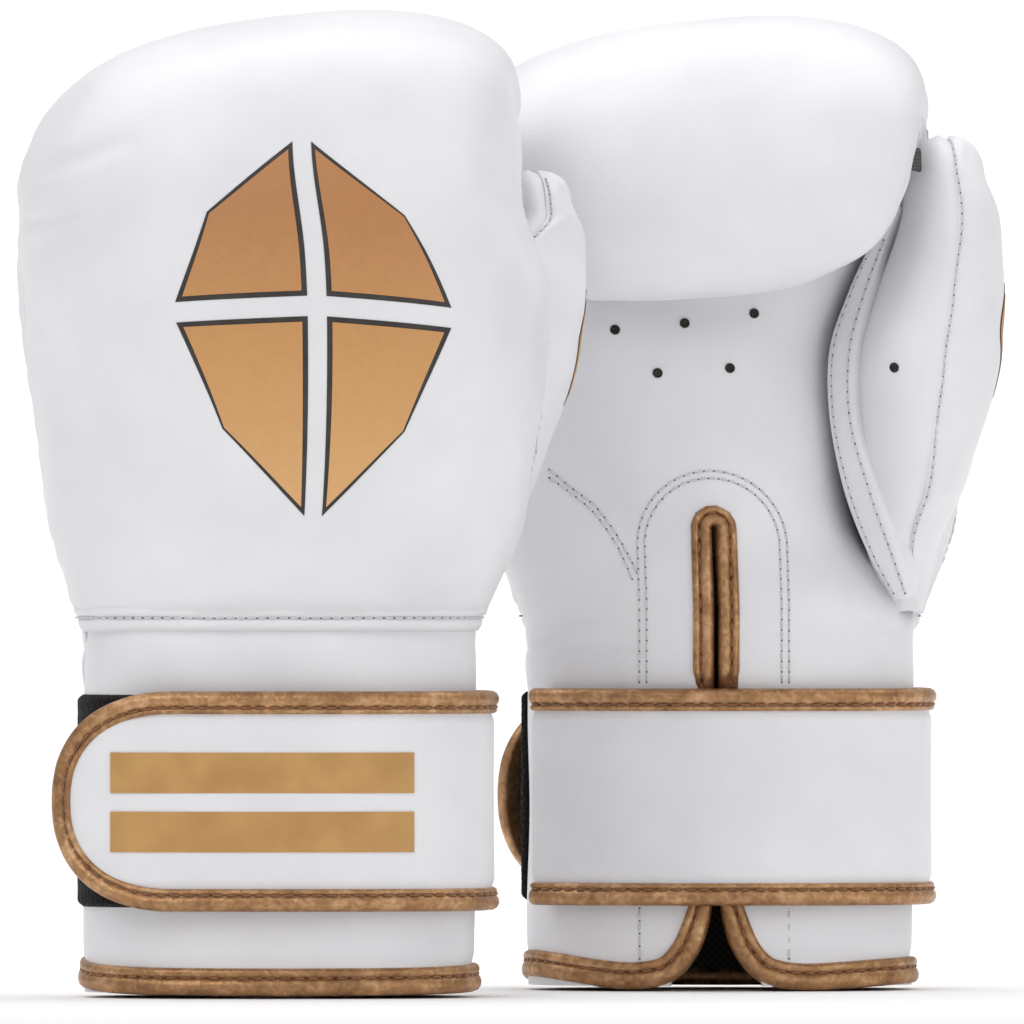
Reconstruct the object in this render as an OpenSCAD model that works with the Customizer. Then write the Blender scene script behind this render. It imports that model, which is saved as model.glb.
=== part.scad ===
// A pair of hook-and-loop training gloves for boxing, standing on their cuffs.
// Each glove is a sewn assembly: foam cores, covers, linings, bindings and a three-part strap.
// One glove is described in its own frame: +X to the thumb, -Y to the back of the hand, +Z to the
// fingertips, Z = 0 at the hem. The second glove is the first one mirrored in Y.

/* [Pair] */
// Distance between the two cuffs from side to side
pair_x = 132; // [130:1:200]
// Distance between the two cuffs from front to back
pair_y = 124; // [122:1:180]
// How far each hand leans per mm of height, the left to its thumb and the right away from it
hand_lean = 0.03; // [0:0.005:0.04]
// How much of its height above the thumb's middle the left thumb loses, pressed down
thumb_drop = 0.2; // [0:0.05:0.2]

/* [Cuff] */
// Width of the cuff
cuff_w = 116; // [110:1:120]
// Depth of the cuff
cuff_d = 74; // [72:1:78]
// Height of the cuff, up to the welt
cuff_h = 109; // [100:1:109]
// Thickness of the cuff foam
cuff_pad_t = 6; // [4:0.5:6]
// Height of the bound hem
hem_h = 9.5; // [8:0.5:14]
// Height of the slit on the palm side
slit_h = 148; // [140:1:150]
// Width that the slit spreads to at the hem
slit_mouth = 19; // [8:1:22]

/* [Strap] */
// Width of the strap, measured up the cuff
strap_w = 65; // [60:1:66]
// Height of the strap's lower edge above the hem
strap_z = 26; // [22:1:28]
// Thickness of the strap
strap_t = 3; // [2:0.25:3.25]
// Width of the edge binding on the strap
strap_edge = 6.5; // [4:0.5:9]

/* [Materials] */
// Thickness of the cover leather
skin_t = 1.2; // [0.8:0.1:1.4]
// Thickness of the lining cloth
lining_t = 0.8; // [0.5:0.1:1]
// Gap kept between layers
layer_gap = 0.2; // [0.1:0.05:0.3]

/* [Hidden] */
PIECES = [
    "back_cover", "back_padding", "finger_padding", "palm_panel", "palm_padding", "hand_lining",
    "grip_bar", "thumb_cover", "thumb_panel", "thumb_padding", "thumb_lining", "thumb_gusset",
    "thumb_lock", "back_emblem", "wrist_welt", "cuff_cover", "cuff_padding", "cuff_lining", "slit_binding",
    "slit_lips", "hem_binding", "loop_patch", "strap_anchor", "strap_anchor_binding",
    "strap_side", "strap_side_binding", "strap_flap", "strap_flap_binding", "hook_patch",
    "strap_label"];
SIDES = ["left", "right"];

white = "#ececee";
bronze = "#a67c52";
tan_print = "#c99a62";
black = "#201c1a";
foam = "#b9c2c9";
cloth = "#8f8a86";

pad_depth = skin_t + layer_gap;             // depth of the foam under the cover
welt_z0 = cuff_h + layer_gap;               // underside of the wrist welt
wrist_z = 116;                              // height where the hand starts
bend = 2.5;                                 // roundness of the hand's arched sections
cuff_bend = 2.6;                            // roundness of the oval cuff
rows = 14;                                  // steps along the hand
knuckle_row = 7;                            // row where the back foam meets the finger foam
cols = 11;                                  // steps across the hand
ring = 16;                                  // steps around the thumb
oval_step = 6;                              // degrees between points on the cuff's ovals
seam_angle = 88;                            // where an arched sheet stops short of its seams
col_step = 2 * seam_angle / cols;           // angle of one step across the hand
panel_angle = seam_angle - col_step;        // where the palm panel ends on the thumb side
thumb_way_angle = panel_angle - col_step;   // where the palm foam and lining leave the thumb's way
slit_x = -1.5;                              // centre of the slit
slit_gap = 0.5;                             // half the gap between the slit's lips
lip_w = 3.4;                                // width of one rolled lip
slit_edge = 3.6;                            // width of the binding outside the lip
hinge_gap = 3.8;                            // strap left out at each fold
strap_in = 3.8;                             // how far the strap's inner face stands off the cuff
flap_spread = 15.5;                         // how much wider the flap's oval is past the middle
flap_end = -145;                            // angle of the flap's round end
stand_off = 0.4;                            // how far a binding stands proud of the strap
anchor_end = 150;                           // angle where the sewn strap length ends
label_from = -124;                          // angles and heights of the flap's printed bars
label_to = -56;
label_zs = [17.5, 35];
label_h = 12;                               // height of a printed bar
hook_from = -122;                           // angles of the hook patch
hook_to = -98;
hook_inset = 12;                            // its distance from the strap's edges
loop_from = -178;                           // angles of the loop patch
loop_to = -100;
film = 0.1;                                 // gap under a print or a patch
palm_row = 2;                               // first row of the palm's foam, above the slit
cover_from = -72;                           // angles of the thumb's leathers
cover_to = 80;
inner_from = 82;
inner_to = 140;
grip_at = [-8, 9, 206];                     // middle of the grip bar
lock_at = [61, 43.5, 250];                  // middle of the thumb's tie
lock_turn = -60;                            // its angle seen from above
welt_in = 8.2;                              // how far the wrist welt reaches in and stands out
welt_out = 5;
slit_foot = 0.6;                            // height where the slit's bindings start
binding_ys = [27, 39];                      // depth span of the slit's binding
lips_ys = [28, 37.5];                       // depth span of its rolled lips
far = 60;                                   // longer than any cut has to reach
grip_r = 6.5;                               // radius of the grip bar
grip_len = 50;                              // length of the grip bar
print_t = 0.4;                              // thickness of a print
print_base = 0.5;                           // height of the emblem's underside over the cover
patch_t = 2;                                // thickness of the loop patch
hook_t = 1;                                 // thickness of the hook patch
lock_size = [9, 1.6, 7];                    // length, thickness and height of the thumb's tie
thumb_mid_z = 200;                          // height above which a pressed thumb sinks
fold_angle = 32;                            // where the strap folds, measured from the thumb side
pair_shift = -3.1;                          // puts the pair's middle on X = 0

// Outer shape of the hand, from the wrist over the knuckles to the tip of the finger roll.
// A row is [little-finger seam x, y, z, thumb seam x, y, z, crown y, z].
back_rows = [
    [-63, 0, 116,  63, 0, 116,  -42, 116],
    [-70, 1, 142,  72, -5, 140,  -50, 144],
    [-76, 2, 178,  77, -7, 176,  -55, 182],
    [-80, 4, 210,  77, -7, 208,  -55, 218],
    [-82, 8, 236,  70, -4, 236,  -48, 250],
    [-79, 18, 246,  68, 5, 256,  -28, 278],
    [-75, 30, 248,  67, 22, 263,  4, 290],
    [-72, 42, 247,  65, 40, 262,  38, 288],
    [-70, 52, 240,  62, 52, 254,  62, 268],
    [-65, 55, 228,  58, 55, 240,  71, 242],
    [-56, 54, 216,  49, 54, 225,  66, 217],
    [-37, 50, 209,  26, 50, 213,  56, 207]];

// Palm side of the same sections: up the palm, into the crease and along the underside of the roll
palm_rows = [
    [-63, 1, 116,  52, 1, 116,  38, 116],
    [-70, 2, 142,  42, 0, 140,  36, 138],
    [-76, 3, 176,  40, -2, 172,  34, 168],
    [-80, 5, 206,  40, -2, 200,  31, 194],
    [-81, 9, 230,  48, 0, 224,  29, 209],
    [-79, 18, 243,  57, 7, 246,  33, 220],
    [-75, 29, 246,  60, 20, 258,  38, 224],
    [-72, 40, 245,  60, 36, 258,  43, 219],
    [-69, 48, 238,  59, 47, 250,  46, 212],
    [-64, 50, 226,  56, 50, 238,  48, 208],
    [-55, 50, 214,  47, 50, 223,  49, 207],
    [-36, 49, 208,  25, 49, 212,  50, 206]];

// Inside of the foam behind the back cover: the room for the hand and the bent fingers
hand_back_rows = [
    [-50, 0, 116,  50, 0, 116,  -29, 116],
    [-49, 1, 142,  52, -5, 140,  -26, 144],
    [-48, 2, 178,  52, -8, 176,  -25, 180],
    [-48, 4, 206,  50, -8, 204,  -24, 212],
    [-49, 8, 226,  46, -4, 226,  -18, 236],
    [-49, 14, 236,  42, 5, 240,  -8, 252],
    [-48, 22, 240,  40, 16, 246,  6, 262],
    [-46, 31, 240,  38, 28, 246,  24, 265],
    [-44, 39, 235,  36, 38, 240,  42, 256],
    [-40, 43, 228,  33, 43, 233,  50, 242],
    [-34, 44, 223,  28, 44, 227,  50, 230],
    [-28, 44, 220,  22, 44, 223,  47, 223]];

// Inside of the foam behind the palm panel
hand_palm_rows = [
    [-50, 1, 116,  46, 1, 116,  29, 116],
    [-49, 2, 142,  36, 0, 140,  27, 138],
    [-48, 3, 174,  33, -2, 170,  25, 168],
    [-48, 5, 202,  33, -2, 196,  22, 192],
    [-48, 9, 222,  36, 0, 216,  20, 210],
    [-48, 15, 233,  39, 7, 234,  24, 226],
    [-47, 22, 238,  40, 17, 243,  31, 235],
    [-45, 31, 238,  38, 28, 243,  38, 233],
    [-43, 38, 233,  36, 37, 238,  42, 226],
    [-39, 42, 226,  33, 42, 231,  44, 221],
    [-33, 43, 221,  28, 43, 225,  45, 218],
    [-27, 43, 218,  22, 43, 221,  44, 217]];

// Outer shape of the thumb as ovals up its length: [centre x, centre y, z, half width, half depth]
thumb_rows = [
    [56, 12, 116.5, 6, 9],
    [56, 14, 135, 12, 15],
    [60, 17, 152, 16, 19],
    [62.5, 18, 172, 19.5, 21.5],
    [65, 20, 192, 21, 22.5],
    [69, 22, 212, 18.5, 22],
    [72.5, 24, 232, 14.8, 20],
    [72, 25, 246, 12.5, 16],
    [72, 25, 254, 8.5, 10.5],
    [72, 25, 257.5, 3, 4]];

// Room for the thumb, open at its lower end to the room for the hand
thumb_room_rows = [
    [59.5, 15.5, 148, 11.5, 11],
    [61, 17, 164, 12, 12.5],
    [63, 18.5, 182, 12.5, 13],
    [65.5, 20.5, 202, 12, 13],
    [69, 23, 220, 9.5, 11.5],
    [71, 24, 234, 7, 9],
    [71.5, 24, 240, 3, 4]];

// Left and right edges of the web between palm and thumb: [left x, right x, z, left y, right y]
gusset_rows = [
    [52, 57, 118, 26, 27],
    [45, 54, 130, 26, 31],
    [38, 48, 149, 26, 32],
    [34, 42, 172, 23, 28],
    [34.5, 42.5, 193, 21, 27],
    [41, 47.5, 211, 21, 26],
    [47, 52, 223, 24, 26]];

// ---------- curves ----------

// Row of a table at fraction u of its length, on a smooth curve through all its rows
function station(table, u) =
    let (n = len(table) - 1, i = min(floor(u * n), n - 1), t = u * n - i,
         p0 = table[max(i - 1, 0)], p1 = table[i], p2 = table[i + 1], p3 = table[min(i + 2, n)])
    0.5 * (2 * p1 + (p2 - p0) * t + (2 * p0 - 5 * p1 + 4 * p2 - p3) * t * t
        + (3 * p1 - p0 - 3 * p2 + p3) * t * t * t);

// Power that keeps its sign, for superellipses
function signed_pow(v, p) = sign(v) * pow(abs(v), p);

// Height of a thumb's point on one side, with the left thumb pressed down
function pressed(z, side) = z - (side == "left" ? thumb_drop * max(0, z - thumb_mid_z) : 0);

// Shear that makes a hand lean, starting at the wrist
function leaned(p, side) =
    [p.x + (side == "left" ? 1 : -1) * hand_lean * max(0, p.z - wrist_z), p.y, p.z];

// Point at angle a on the arch of one section, at a depth below the outer surface
function arch_point(row, a, depth) =
    let (l = [row[0], row[1], row[2]], r = [row[3], row[4], row[5]], mid = (l + r) / 2,
         rise = [0, row[6] - mid.y, row[7] - mid.z], half = (r - l) / 2)
    mid + signed_pow(sin(a), 2 / bend) * half * (1 - depth / norm(half))
        + pow(cos(a), 2 / bend) * rise * (1 - depth / norm(rise));

// Grid of points on an arched sheet between two angles and two rows, at a depth below the table's
// surface
function sheet(table, side, depth, a0, a1, i0 = 0, i1 = rows) =
    let (n = round(abs(a1 - a0) / col_step))
    [for (i = [i0:i1]) let (row = station(table, i / rows))
        [for (j = [0:n]) leaned(arch_point(row, a0 + (a1 - a0) * j / n, depth), side)]];

// Point at angle a on one of a thumb's ovals, at a depth below it
function thumb_point(row, side, a, depth) =
    leaned([row[0] + (row[3] - depth) * cos(a), row[1] + (row[4] - depth) * sin(a),
            pressed(row[2], side)], side);

// Grid of points around the thumb between two angles
function thumb_grid(table, side, depth, a0, a1, u0, u1, n) =
    [for (i = [0:rows]) let (row = station(table, u0 + (u1 - u0) * i / rows))
        [for (j = [0:n]) thumb_point(row, side, a0 + (a1 - a0) * j / n, depth)]];

// Closed oval for the cuff, at an offset from the cuff's outer face
function oval(offset) =
    [for (a = [0:oval_step:359]) oval_point(a, cuff_w / 2 + offset, cuff_d / 2 + offset)];
function oval_point(a, rx, ry) =
    [rx * signed_pow(cos(a), 2 / cuff_bend), ry * signed_pow(sin(a), 2 / cuff_bend)];

// Strap's path round the cuff: 0 at the thumb side, 90 over the palm, -90 over the back.
// Past the middle of the back it runs out on a wider oval, so that its end stands off the cuff.
function strap_point(a, offset) =
    oval_point(a, cuff_w / 2 + strap_in - 1 + offset + (a < -90 ? flap_spread : 0),
               cuff_d / 2 + strap_in + offset);

// Angle that the fold's gap takes up on each side of a fold
fold_half = hinge_gap / 2 / norm(strap_point(fold_angle + 0.5, 0) - strap_point(fold_angle - 0.5, 0));

// Half width of the slit with a border of width w, at height z: it spreads under the strap
function slit_half(z, w) =
    slit_gap + w + (slit_mouth / 2 - slit_gap) * pow(max(0, 1 - z / strap_z), 1.6);

// Outline of the slit with a border of width w: up one side, over a round top, down the other
function slit_outline(w) =
    let (top = slit_h - slit_gap - lip_w - slit_edge, r = slit_gap + w,
         side = [for (z = [-1, 0, 4, 8, 13, 19, strap_z, top]) [slit_half(max(z, 0), w), z]],
         cap = [for (a = [15:15:165]) [r * cos(a), top + r * sin(a)]],
         n = len(side) - 1)
    concat(side, cap, [for (i = [n:-1:0]) [-side[i].x, side[i].y]]);

// ---------- solids ----------

// Solid between two grids of the same size; rows x columns points from the outer to the inner one
module slab(outer, inner) {
    n = len(outer) - 1;
    m = len(outer[0]) - 1;
    w = m + 1;
    k = (n + 1) * w;
    skin = [for (i = [0:n - 1]) for (j = [0:m - 1]) let (a = i * w + j)
        each [[a, a + w, a + w + 1], [a, a + w + 1, a + 1]]];
    lining = [for (f = skin) [f[0] + k, f[2] + k, f[1] + k]];
    ends = [for (j = [0:m - 1]) let (a = j, b = n * w + j)
        each [[a, a + 1, a + 1 + k], [a, a + 1 + k, a + k],
              [b, b + k, b + 1 + k], [b, b + 1 + k, b + 1]]];
    edges = [for (i = [0:n - 1]) let (a = i * w, b = i * w + m)
        each [[a, a + k, a + w + k], [a, a + w + k, a + w],
              [b, b + w, b + w + k], [b, b + w + k, b + k]]];
    polyhedron(concat([for (r = outer) each r], [for (r = inner) each r]),
               concat(skin, lining, ends, edges), convexity = 8);
}

// Closed-ended sleeve between two stacks of rings, open at the bottom row
module sleeve(outer, inner) {
    n = len(outer) - 1;
    w = len(outer[0]);
    k = (n + 1) * w;
    wall = [for (i = [0:n - 1]) for (j = [0:w - 1]) let (a = i * w + j, b = i * w + (j + 1) % w)
        each [[a, a + w, b + w], [a, b + w, b]]];
    core = [for (f = wall) [f[0] + k, f[2] + k, f[1] + k]];
    foot = [for (j = [0:w - 1]) let (b = (j + 1) % w) each [[j, b, b + k], [j, b + k, j + k]]];
    tip = [[for (j = [w - 1:-1:0]) n * w + j], [for (j = [0:w - 1]) k + n * w + j]];
    polyhedron(concat([for (r = outer) each r], [for (r = inner) each r]),
               concat(wall, core, foot, tip), convexity = 8);
}

// Stack of closed rings for the thumb
function thumb_rings(table, side, depth, u0, u1) =
    [for (i = [0:rows]) let (row = station(table, u0 + (u1 - u0) * i / rows))
        [for (j = [0:ring - 1]) thumb_point(row, side, 360 * j / ring, depth)]];

// Wall of the oval cuff between two offsets and two heights
module cuff_wall(inner, outer, z0, z1) {
    translate([0, 0, z0]) linear_extrude(z1 - z0) difference() {
        polygon(oval(outer));
        polygon(oval(inner));
    }
}

// Cutter in the shape of the slit with a border, through the palm side only
module slit_cutter(w) {
    translate([slit_x, far, 0]) rotate([90, 0, 0]) linear_extrude(far - 10) polygon(slit_outline(w));
}

// Cutter that leaves the lining out behind the slit
module slot_cutter() {
    w = slit_gap + lip_w + slit_edge + layer_gap;
    translate([slit_x - w, 0, 0]) cube([2 * w, far, slit_h]);
}

// Band of the strap between two angles, two offsets and two heights
module band(a0, a1, in, out, z0, z1) {
    steps = max(2, round(abs(a1 - a0) / oval_step));
    angles = [for (i = [0:steps]) a0 + (a1 - a0) * i / steps];
    translate([0, 0, z0]) linear_extrude(z1 - z0)
        polygon(concat([for (a = angles) strap_point(a, out)],
                       [for (i = [steps:-1:0]) strap_point(angles[i], in)]));
}

// Face of the flap seen from the back, with its round end, inset by a border
module flap_face(inset) {
    r = strap_w / 2 - inset;
    zc = strap_z + strap_w / 2;
    tip = strap_point(flap_end, strap_t).x;
    cx = tip + strap_w / 2;
    translate([0, far, 0]) rotate([90, 0, 0]) linear_extrude(2 * far)
        polygon(concat([[2 * far, zc - r], [2 * far, zc + r]],
                       [for (a = [90:10:270]) [cx + r * cos(a), zc + r * sin(a)]]));
}

// Edge bindings along the top and bottom of a strap length
module edge_bindings(a0, a1) {
    for (z = [strap_z, strap_z + strap_w - strap_edge])
        band(a0, a1, -stand_off, strap_t + stand_off, z, z + strap_edge);
}

// Middle of a strap length, between its bindings
module strap_length(a0, a1) {
    band(a0, a1, 0, strap_t, strap_z + strap_edge + layer_gap,
         strap_z + strap_w - strap_edge - layer_gap);
}

// ---------- hand ----------

// Leather over the back of the hand, the knuckles and the finger roll
module back_cover(side) {
    color(white) slab(sheet(back_rows, side, 0, -seam_angle, seam_angle),
                      sheet(back_rows, side, skin_t, -seam_angle, seam_angle));
}

// Moulded foam under the back cover, from the wrist to the knuckles
module back_padding(side) {
    color(foam) back_foam(side, 0, knuckle_row);
}

// Moulded foam over the bent fingers and in the roll, from the knuckles on
module finger_padding(side) {
    color(foam) back_foam(side, knuckle_row, rows);
}

// Foam under the back cover between two rows
module back_foam(side, i0, i1) {
    slab(sheet(back_rows, side, pad_depth, -seam_angle, seam_angle, i0, i1),
         sheet(hand_back_rows, side, 0, -seam_angle, seam_angle, i0, i1));
}

// Leather over the palm and the underside of the finger roll, cut open at the slit
module palm_panel(side) {
    color(white) difference() {
        slab(sheet(palm_rows, side, 0, panel_angle, -seam_angle),
             sheet(palm_rows, side, skin_t, panel_angle, -seam_angle));
        slit_cutter(lip_w + slit_edge + layer_gap);
    }
}

// Foam under the palm panel, from above the slit into the finger roll
module palm_padding(side) {
    color(foam)
        slab(sheet(palm_rows, side, pad_depth, thumb_way_angle, -seam_angle, palm_row, rows),
             sheet(hand_palm_rows, side, 0, thumb_way_angle, -seam_angle, palm_row, rows));
}

// Lining cloth of the hand room: a back sheet, and a palm sheet that leaves the thumb's way open
module hand_lining(side) {
    color(cloth) {
        slab(sheet(hand_back_rows, side, layer_gap, -seam_angle, seam_angle),
             sheet(hand_back_rows, side, layer_gap + lining_t, -seam_angle, seam_angle));
        difference() {
            slab(sheet(hand_palm_rows, side, layer_gap, thumb_way_angle, -seam_angle),
                 sheet(hand_palm_rows, side, layer_gap + lining_t, thumb_way_angle,
                       -seam_angle));
            slot_cutter();
        }
    }
}

// Foam bar across the palm that the fingers close on
module grip_bar(side) {
    color(foam) translate(leaned(grip_at, side)) rotate([0, 90, 0])
        cylinder(h = grip_len, r = grip_r, center = true, $fn = 12);
}

// Tan print on the back of the hand: four kite-shaped facets that form a tall lozenge
module back_emblem(side) {
    facets = [
        [[-11, 0.31], [2.5, 0.37], [2.5, 0.245], [-19, 0.24]],
        [[5.5, 0.37], [23, 0.31], [33, 0.24], [5.5, 0.245]],
        [[-19, 0.225], [2.5, 0.23], [2.5, 0.09], [-10, 0.15]],
        [[5.5, 0.23], [33, 0.225], [22, 0.15], [5.5, 0.09]]];
    steps = 4;
    color(tan_print) for (f = facets) {
        grid = [for (i = [0:steps]) [for (j = [0:steps]) let (t = i / steps, s = j / steps)
            (f[3] * (1 - s) + f[2] * s) * (1 - t) + (f[0] * (1 - s) + f[1] * s) * t]];
        slab([for (r = grid) [for (p = r)
                 leaned(arch_point(station(back_rows, p.y), p.x, -print_base - print_t), side)]],
             [for (r = grid) [for (p = r)
                 leaned(arch_point(station(back_rows, p.y), p.x, -print_base), side)]]);
    }
}

// ---------- thumb ----------

// Leather over the outside of the thumb, from the back seam round to the palm side
module thumb_cover(side) {
    color(white) slab(thumb_grid(thumb_rows, side, 0, cover_from, cover_to, 0, 1, cols),
                      thumb_grid(thumb_rows, side, skin_t, cover_from, cover_to, 0, 0.995,
                                 cols));
}

// Leather on the inside of the thumb, between the cover and the web
module thumb_panel(side) {
    color(white) slab(thumb_grid(thumb_rows, side, 0, inner_from, inner_to, 0, 1, 5),
                      thumb_grid(thumb_rows, side, skin_t, inner_from, inner_to, 0, 0.995,
                                 5));
}

// Foam round the thumb's room, closed at the tip
module thumb_padding(side) {
    color(foam) sleeve(thumb_rings(thumb_rows, side, pad_depth, 0.2, 0.975),
                       thumb_rings(thumb_room_rows, side, 0, 0, 1));
}

// Lining cloth of the thumb's room
module thumb_lining(side) {
    color(cloth) sleeve(thumb_rings(thumb_room_rows, side, layer_gap, 0, 0.98),
                        thumb_rings(thumb_room_rows, side, layer_gap + lining_t, 0, 0.96));
}

// Leather web that joins the palm to the inside of the thumb
module thumb_gusset(side) {
    grid = [for (i = [0:rows]) let (r = station(gusset_rows, i / rows))
        [for (j = [0:2]) let (t = 1 - j / 2)
            [r[0] + (r[1] - r[0]) * t, r[3] + (r[4] - r[3]) * t, r[2]]]];
    color(white) slab([for (r = grid) [for (p = r) leaned(p, side)]],
                      [for (r = grid) [for (p = r) leaned(p - [0, skin_t, 0], side)]]);
}

// Short strap that ties the thumb's tip to the finger roll
module thumb_lock(side) {
    color(black) translate(leaned([lock_at.x, lock_at.y, pressed(lock_at.z, side)], side))
        rotate([0, 0, lock_turn])
        cube(lock_size, center = true);
}

// ---------- wrist and cuff ----------

// Folded welt sewn between the hand and the cuff
module wrist_welt() {
    color(white) difference() {
        cuff_wall(-welt_in, welt_out, welt_z0, wrist_z - layer_gap);
        slit_cutter(lip_w + slit_edge + layer_gap);
    }
}

// Leather round the cuff
module cuff_cover() {
    color(white) difference() {
        cuff_wall(-skin_t, 0, skin_t + layer_gap, cuff_h);
        slit_cutter(lip_w + slit_edge + layer_gap);
    }
}

// Foam in the cuff
module cuff_padding() {
    color(foam) difference() {
        cuff_wall(-pad_depth - cuff_pad_t, -pad_depth, skin_t + layer_gap, cuff_h);
        slit_cutter(lip_w + slit_edge + layer_gap);
    }
}

// Lining cloth of the cuff
module cuff_lining() {
    depth = pad_depth + cuff_pad_t + layer_gap;
    color(cloth) difference() {
        cuff_wall(-depth - lining_t, -depth, skin_t + layer_gap, cuff_h);
        slit_cutter(lip_w + slit_edge + layer_gap);
    }
}

// Metallic binding round the slit, from the hem up one side and down the other
module slit_binding() {
    color(bronze) intersection() {
        difference() {
            slit_cutter(lip_w + slit_edge);
            slit_cutter(lip_w + layer_gap);
        }
        translate([-far / 2, binding_ys[0], slit_foot])
            cube([far, binding_ys[1] - binding_ys[0], slit_h]);
    }
}

// Two rolled lips inside the binding, with the slit's narrow gap between them
module slit_lips() {
    color(bronze) intersection() {
        difference() {
            slit_cutter(lip_w);
            slit_cutter(0);
        }
        translate([-far / 2, lips_ys[0], slit_foot])
            cube([far, lips_ys[1] - lips_ys[0], slit_h]);
    }
}

// Binding folded round the hem, in one piece with a groove for the cuff's layers
module hem_binding() {
    depth = pad_depth + cuff_pad_t + layer_gap + lining_t + layer_gap;
    color(bronze) difference() {
        cuff_wall(-depth - skin_t, skin_t + layer_gap, 0, hem_h);
        cuff_wall(-depth, layer_gap, skin_t, hem_h + 1);
        slit_cutter(lip_w + slit_edge + layer_gap);
    }
}

// Loop half of the fastener, sewn on the back of the cuff
module loop_patch() {
    color(black) translate([0, 0, strap_z + 1]) linear_extrude(strap_w - 2) difference() {
        polygon([for (a = [loop_from:oval_step:loop_to])
                    oval_point(a, cuff_w / 2 + patch_t, cuff_d / 2 + patch_t),
                 [-12, -20], [-45, 0]]);
        polygon(oval(layer_gap));
    }
}

// ---------- strap ----------

// Length of strap across the palm, sewn on at the little-finger side
module strap_anchor() {
    color(white) strap_length(fold_angle + fold_half, anchor_end);
}

// Its edge bindings
module strap_anchor_binding() {
    color(bronze) edge_bindings(fold_angle + fold_half, anchor_end);
}

// Length of strap round the thumb side, between the two folds
module strap_side() {
    color(white) strap_length(-fold_angle + fold_half, fold_angle - fold_half);
}

// Its edge bindings
module strap_side_binding() {
    color(bronze) edge_bindings(-fold_angle + fold_half, fold_angle - fold_half);
}

// Flap over the back of the cuff, with a round end
module strap_flap() {
    color(white) intersection() {
        band(flap_end - 5, -fold_angle - fold_half, 0, strap_t, strap_z, strap_z + strap_w);
        flap_face(strap_edge + layer_gap);
    }
}

// Binding along the flap's edges and round its end
module strap_flap_binding() {
    color(bronze) intersection() {
        band(flap_end - 5, -fold_angle - fold_half, -stand_off, strap_t + stand_off, strap_z,
             strap_z + strap_w);
        difference() {
            flap_face(0);
            flap_face(strap_edge);
        }
    }
}

// Hook half of the fastener, on the inner face of the flap
module hook_patch() {
    color(black) band(hook_from, hook_to, -stand_off - film - hook_t, -stand_off - film,
                      strap_z + hook_inset, strap_z + strap_w - hook_inset);
}

// Two plain printed bars on the flap
module strap_label() {
    color(tan_print) for (z = label_zs)
        band(label_from, label_to, strap_t + film, strap_t + film + print_t, strap_z + z,
             strap_z + z + label_h);
}

// ---------- the pair ----------

// Stands a glove in its place: the left one in front, the right one behind and mirrored
module placed(side) {
    if (side == "left") translate([pair_shift - pair_x / 2, -pair_y / 2, 0]) children();
    else translate([pair_shift + pair_x / 2, pair_y / 2, 0]) mirror([0, 1, 0]) children();
}

// Draws one piece of one glove when its node is asked for
module show(side, piece) {
    placed(side) children();
}

for (side = SIDES) {
    show(side, "back_cover") back_cover(side);
    show(side, "back_padding") back_padding(side);
    show(side, "finger_padding") finger_padding(side);
    show(side, "palm_panel") palm_panel(side);
    show(side, "palm_padding") palm_padding(side);
    show(side, "hand_lining") hand_lining(side);
    show(side, "grip_bar") grip_bar(side);
    show(side, "thumb_cover") thumb_cover(side);
    show(side, "thumb_panel") thumb_panel(side);
    show(side, "thumb_padding") thumb_padding(side);
    show(side, "thumb_lining") thumb_lining(side);
    show(side, "thumb_gusset") thumb_gusset(side);
    show(side, "thumb_lock") thumb_lock(side);
    show(side, "back_emblem") back_emblem(side);
    show(side, "wrist_welt") wrist_welt();
    show(side, "cuff_cover") cuff_cover();
    show(side, "cuff_padding") cuff_padding();
    show(side, "cuff_lining") cuff_lining();
    show(side, "slit_binding") slit_binding();
    show(side, "slit_lips") slit_lips();
    show(side, "hem_binding") hem_binding();
    show(side, "loop_patch") loop_patch();
    show(side, "strap_anchor") strap_anchor();
    show(side, "strap_anchor_binding") strap_anchor_binding();
    show(side, "strap_side") strap_side();
    show(side, "strap_side_binding") strap_side_binding();
    show(side, "strap_flap") strap_flap();
    show(side, "strap_flap_binding") strap_flap_binding();
    show(side, "hook_patch") hook_patch();
    show(side, "strap_label") strap_label();
}
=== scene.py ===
"""A pair of white training gloves for boxing, standing on their cuffs, built section by section in
the order they are sewn. Shapes are worked out in one glove's own millimetres: +X to the thumb, -Y to
the back of the hand, +Z to the fingertips, Z = 0 at the hem. The right glove mirrors the left in Y."""

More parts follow.
